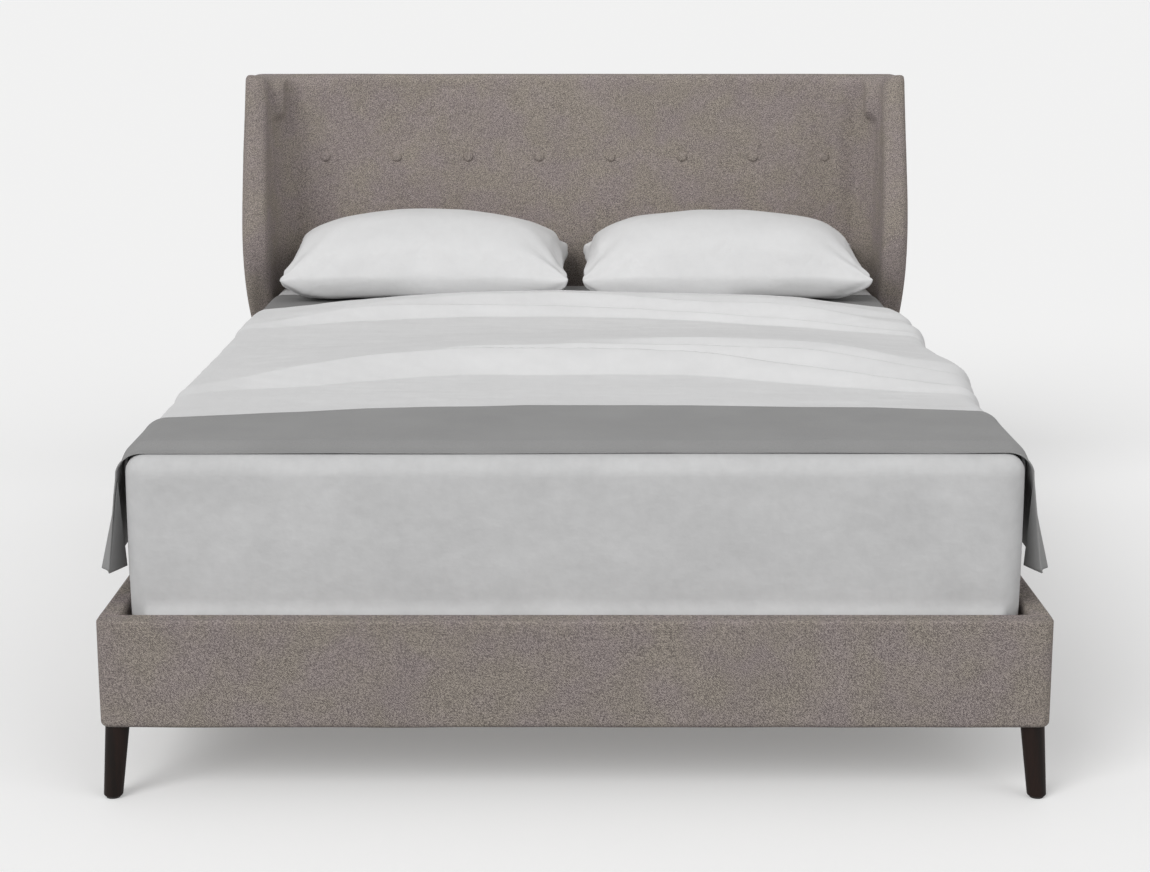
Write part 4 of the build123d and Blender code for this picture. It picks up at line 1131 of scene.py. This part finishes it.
def pillow(name, side):
    """A stuffed pillow in its case."""
    node = f"pillow_{name}"
    low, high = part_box(node)
    piece = remeshed(joined_copy(f"pillow_{name}_stuffed", node), PILLOW_VOXEL)
    piece = relaxed(piece, 3)
    place(piece.data, positions(piece.data) - normals(piece.data) * 0.003)
    piece = simulate(piece, PILLOW_PRESSURE, PILLOW_SWELL)
    points, out = positions(piece.data), normals(piece.data)
    middle = ((low.x + high.x) / 2, (low.y + high.y) / 2)
    across = (points[:, 0] - middle[0]) / ((high.x - low.x) / 2)
    along = (points[:, 1] - middle[1]) / ((high.y - low.y) / 2)
    # The case is drawn in half way up both ends
    level = points[:, 2] - low.z
    seam = level - 0.070 - 0.30 * (points[:, 1] - middle[1])
    points[:, 0] -= np.sign(across) * 0.014 * hump(seam, 0.0, 0.024) * smooth(np.abs(across), 0.80, 0.99)
    # That leaves an ear below and one above
    rim = smooth(np.abs(across), 0.80, 1.0) * np.where(across * side > 0, 1.0, 0.45)
    low_ear = hump(level, 0.045, 0.030) * smooth(-along, 0.0, 0.6)
    high_ear = hump(level, 0.115, 0.018) * smooth(along, 0.0, 0.4)
    points[:, 0] += np.sign(across) * rim * (EAR_LOW * low_ear + EAR_HIGH * high_ear)
    # Creases run in from the corners, and the crown is softly dented
    fan = np.sin(np.arctan2(np.abs(across) - 1.15, np.abs(along) - 1.05) * 17 + across * 2)
    points += out * (0.0026 * fan * smooth(np.abs(across), 0.55, 0.98))[:, None]
    local = points * (1, 1, 1.4)
    dents = waves(local, 0.22, 81 + side) * 0.0032 + waves(local, 0.08, 83 + side) * 0.0007
    points += out * dents[:, None]
    points[:, 2] = np.maximum(points[:, 2], low.z + 0.0002)
    place(piece.data, points)
    return subdivide(piece)


for side, name in SIDES:
    node = f"pillow_{name}"
    padded(pillow(name, side), pillow_white, node, "pillow_cotton", 0.6, node)


# Floor, light and camera

FLOOR_BOUNCE = 0.42
FLOOR_SHADE = 0.765
FLOOR_GLOW = 0.225
FLOOR_REACH = 240.0
WORLD_LIGHT = 0.48
CAMERA_AT = (0, -4.5365, 1.387)
CAMERA_DOWN = 12.3
CAMERA_LENS = 67.05


def floor():
    """A wide pale floor.

    What the camera sees of it is partly its own plain brightness, so its shadow stays light.
    """
    far = FLOOR_REACH
    corners = [(-far, -20, 0), (far, -20, 0), (far, far, 0), (-far, far, 0)]
    piece = new_object("floor", corners, [(0, 1, 2, 3)])
    n = Nodes("pale_floor")
    rays = n.add("ShaderNodeLightPath").outputs
    seen = n.math("MAXIMUM", rays["Is Camera Ray"], rays["Is Glossy Ray"])
    seen = n.math("MAXIMUM", seen, rays["Is Transmission Ray"])
    plain = (FLOOR_BOUNCE, FLOOR_BOUNCE, FLOOR_BOUNCE, 1)
    shaded = (FLOOR_SHADE, FLOOR_SHADE, FLOOR_SHADE * 0.998, 1)
    n.finish(n.mix(seen, plain, shaded), 0.9, Specular_IOR_Level=0.0, Emission_Color=(1, 1, 1, 1))
    n.put(n.shader, "Emission Strength", n.math("MULTIPLY", seen, FLOOR_GLOW))
    piece.data.materials.append(n.material)


def sun(name, azimuth, elevation, strength, angle):
    """A soft distant light. Azimuth 0 is in front of the bed's foot, and positive is to the left."""
    data = bpy.data.lights.new(name, "SUN")
    data.energy = strength
    data.angle = math.radians(angle)
    light = linked(name, data)
    a, e = math.radians(azimuth), math.radians(elevation)
    way = Vector((-math.sin(a) * math.cos(e), -math.cos(a) * math.cos(e), math.sin(e)))
    light.rotation_mode = "QUATERNION"
    light.rotation_quaternion = way.to_track_quat("Z", "Y")


def studio_world():
    """Even white light from all round."""
    world = bpy.data.worlds.new("studio")
    bpy.context.scene.world = world
    world.use_nodes = True
    back = world.node_tree.nodes["Background"]
    back.inputs[0].default_value = (1, 1, 1, 1)
    back.inputs[1].default_value = WORLD_LIGHT


def camera():
    """The camera of the photograph: at eye height in front of the foot, looking a little down."""
    data = bpy.data.cameras.new("camera")
    data.sensor_width = 36
    data.lens = CAMERA_LENS
    data.clip_start = 0.1
    data.clip_end = 600
    made = linked("camera", data)
    made.location = CAMERA_AT
    made.rotation_euler = (math.radians(90 - CAMERA_DOWN), 0, 0)
    bpy.context.scene.camera = made


floor()
sun("key", 38, 34, 1.60, 34)
sun("fill", -50, 26, 0.68, 50)
studio_world()
camera()
bpy.context.scene.view_settings.view_transform = "Standard"
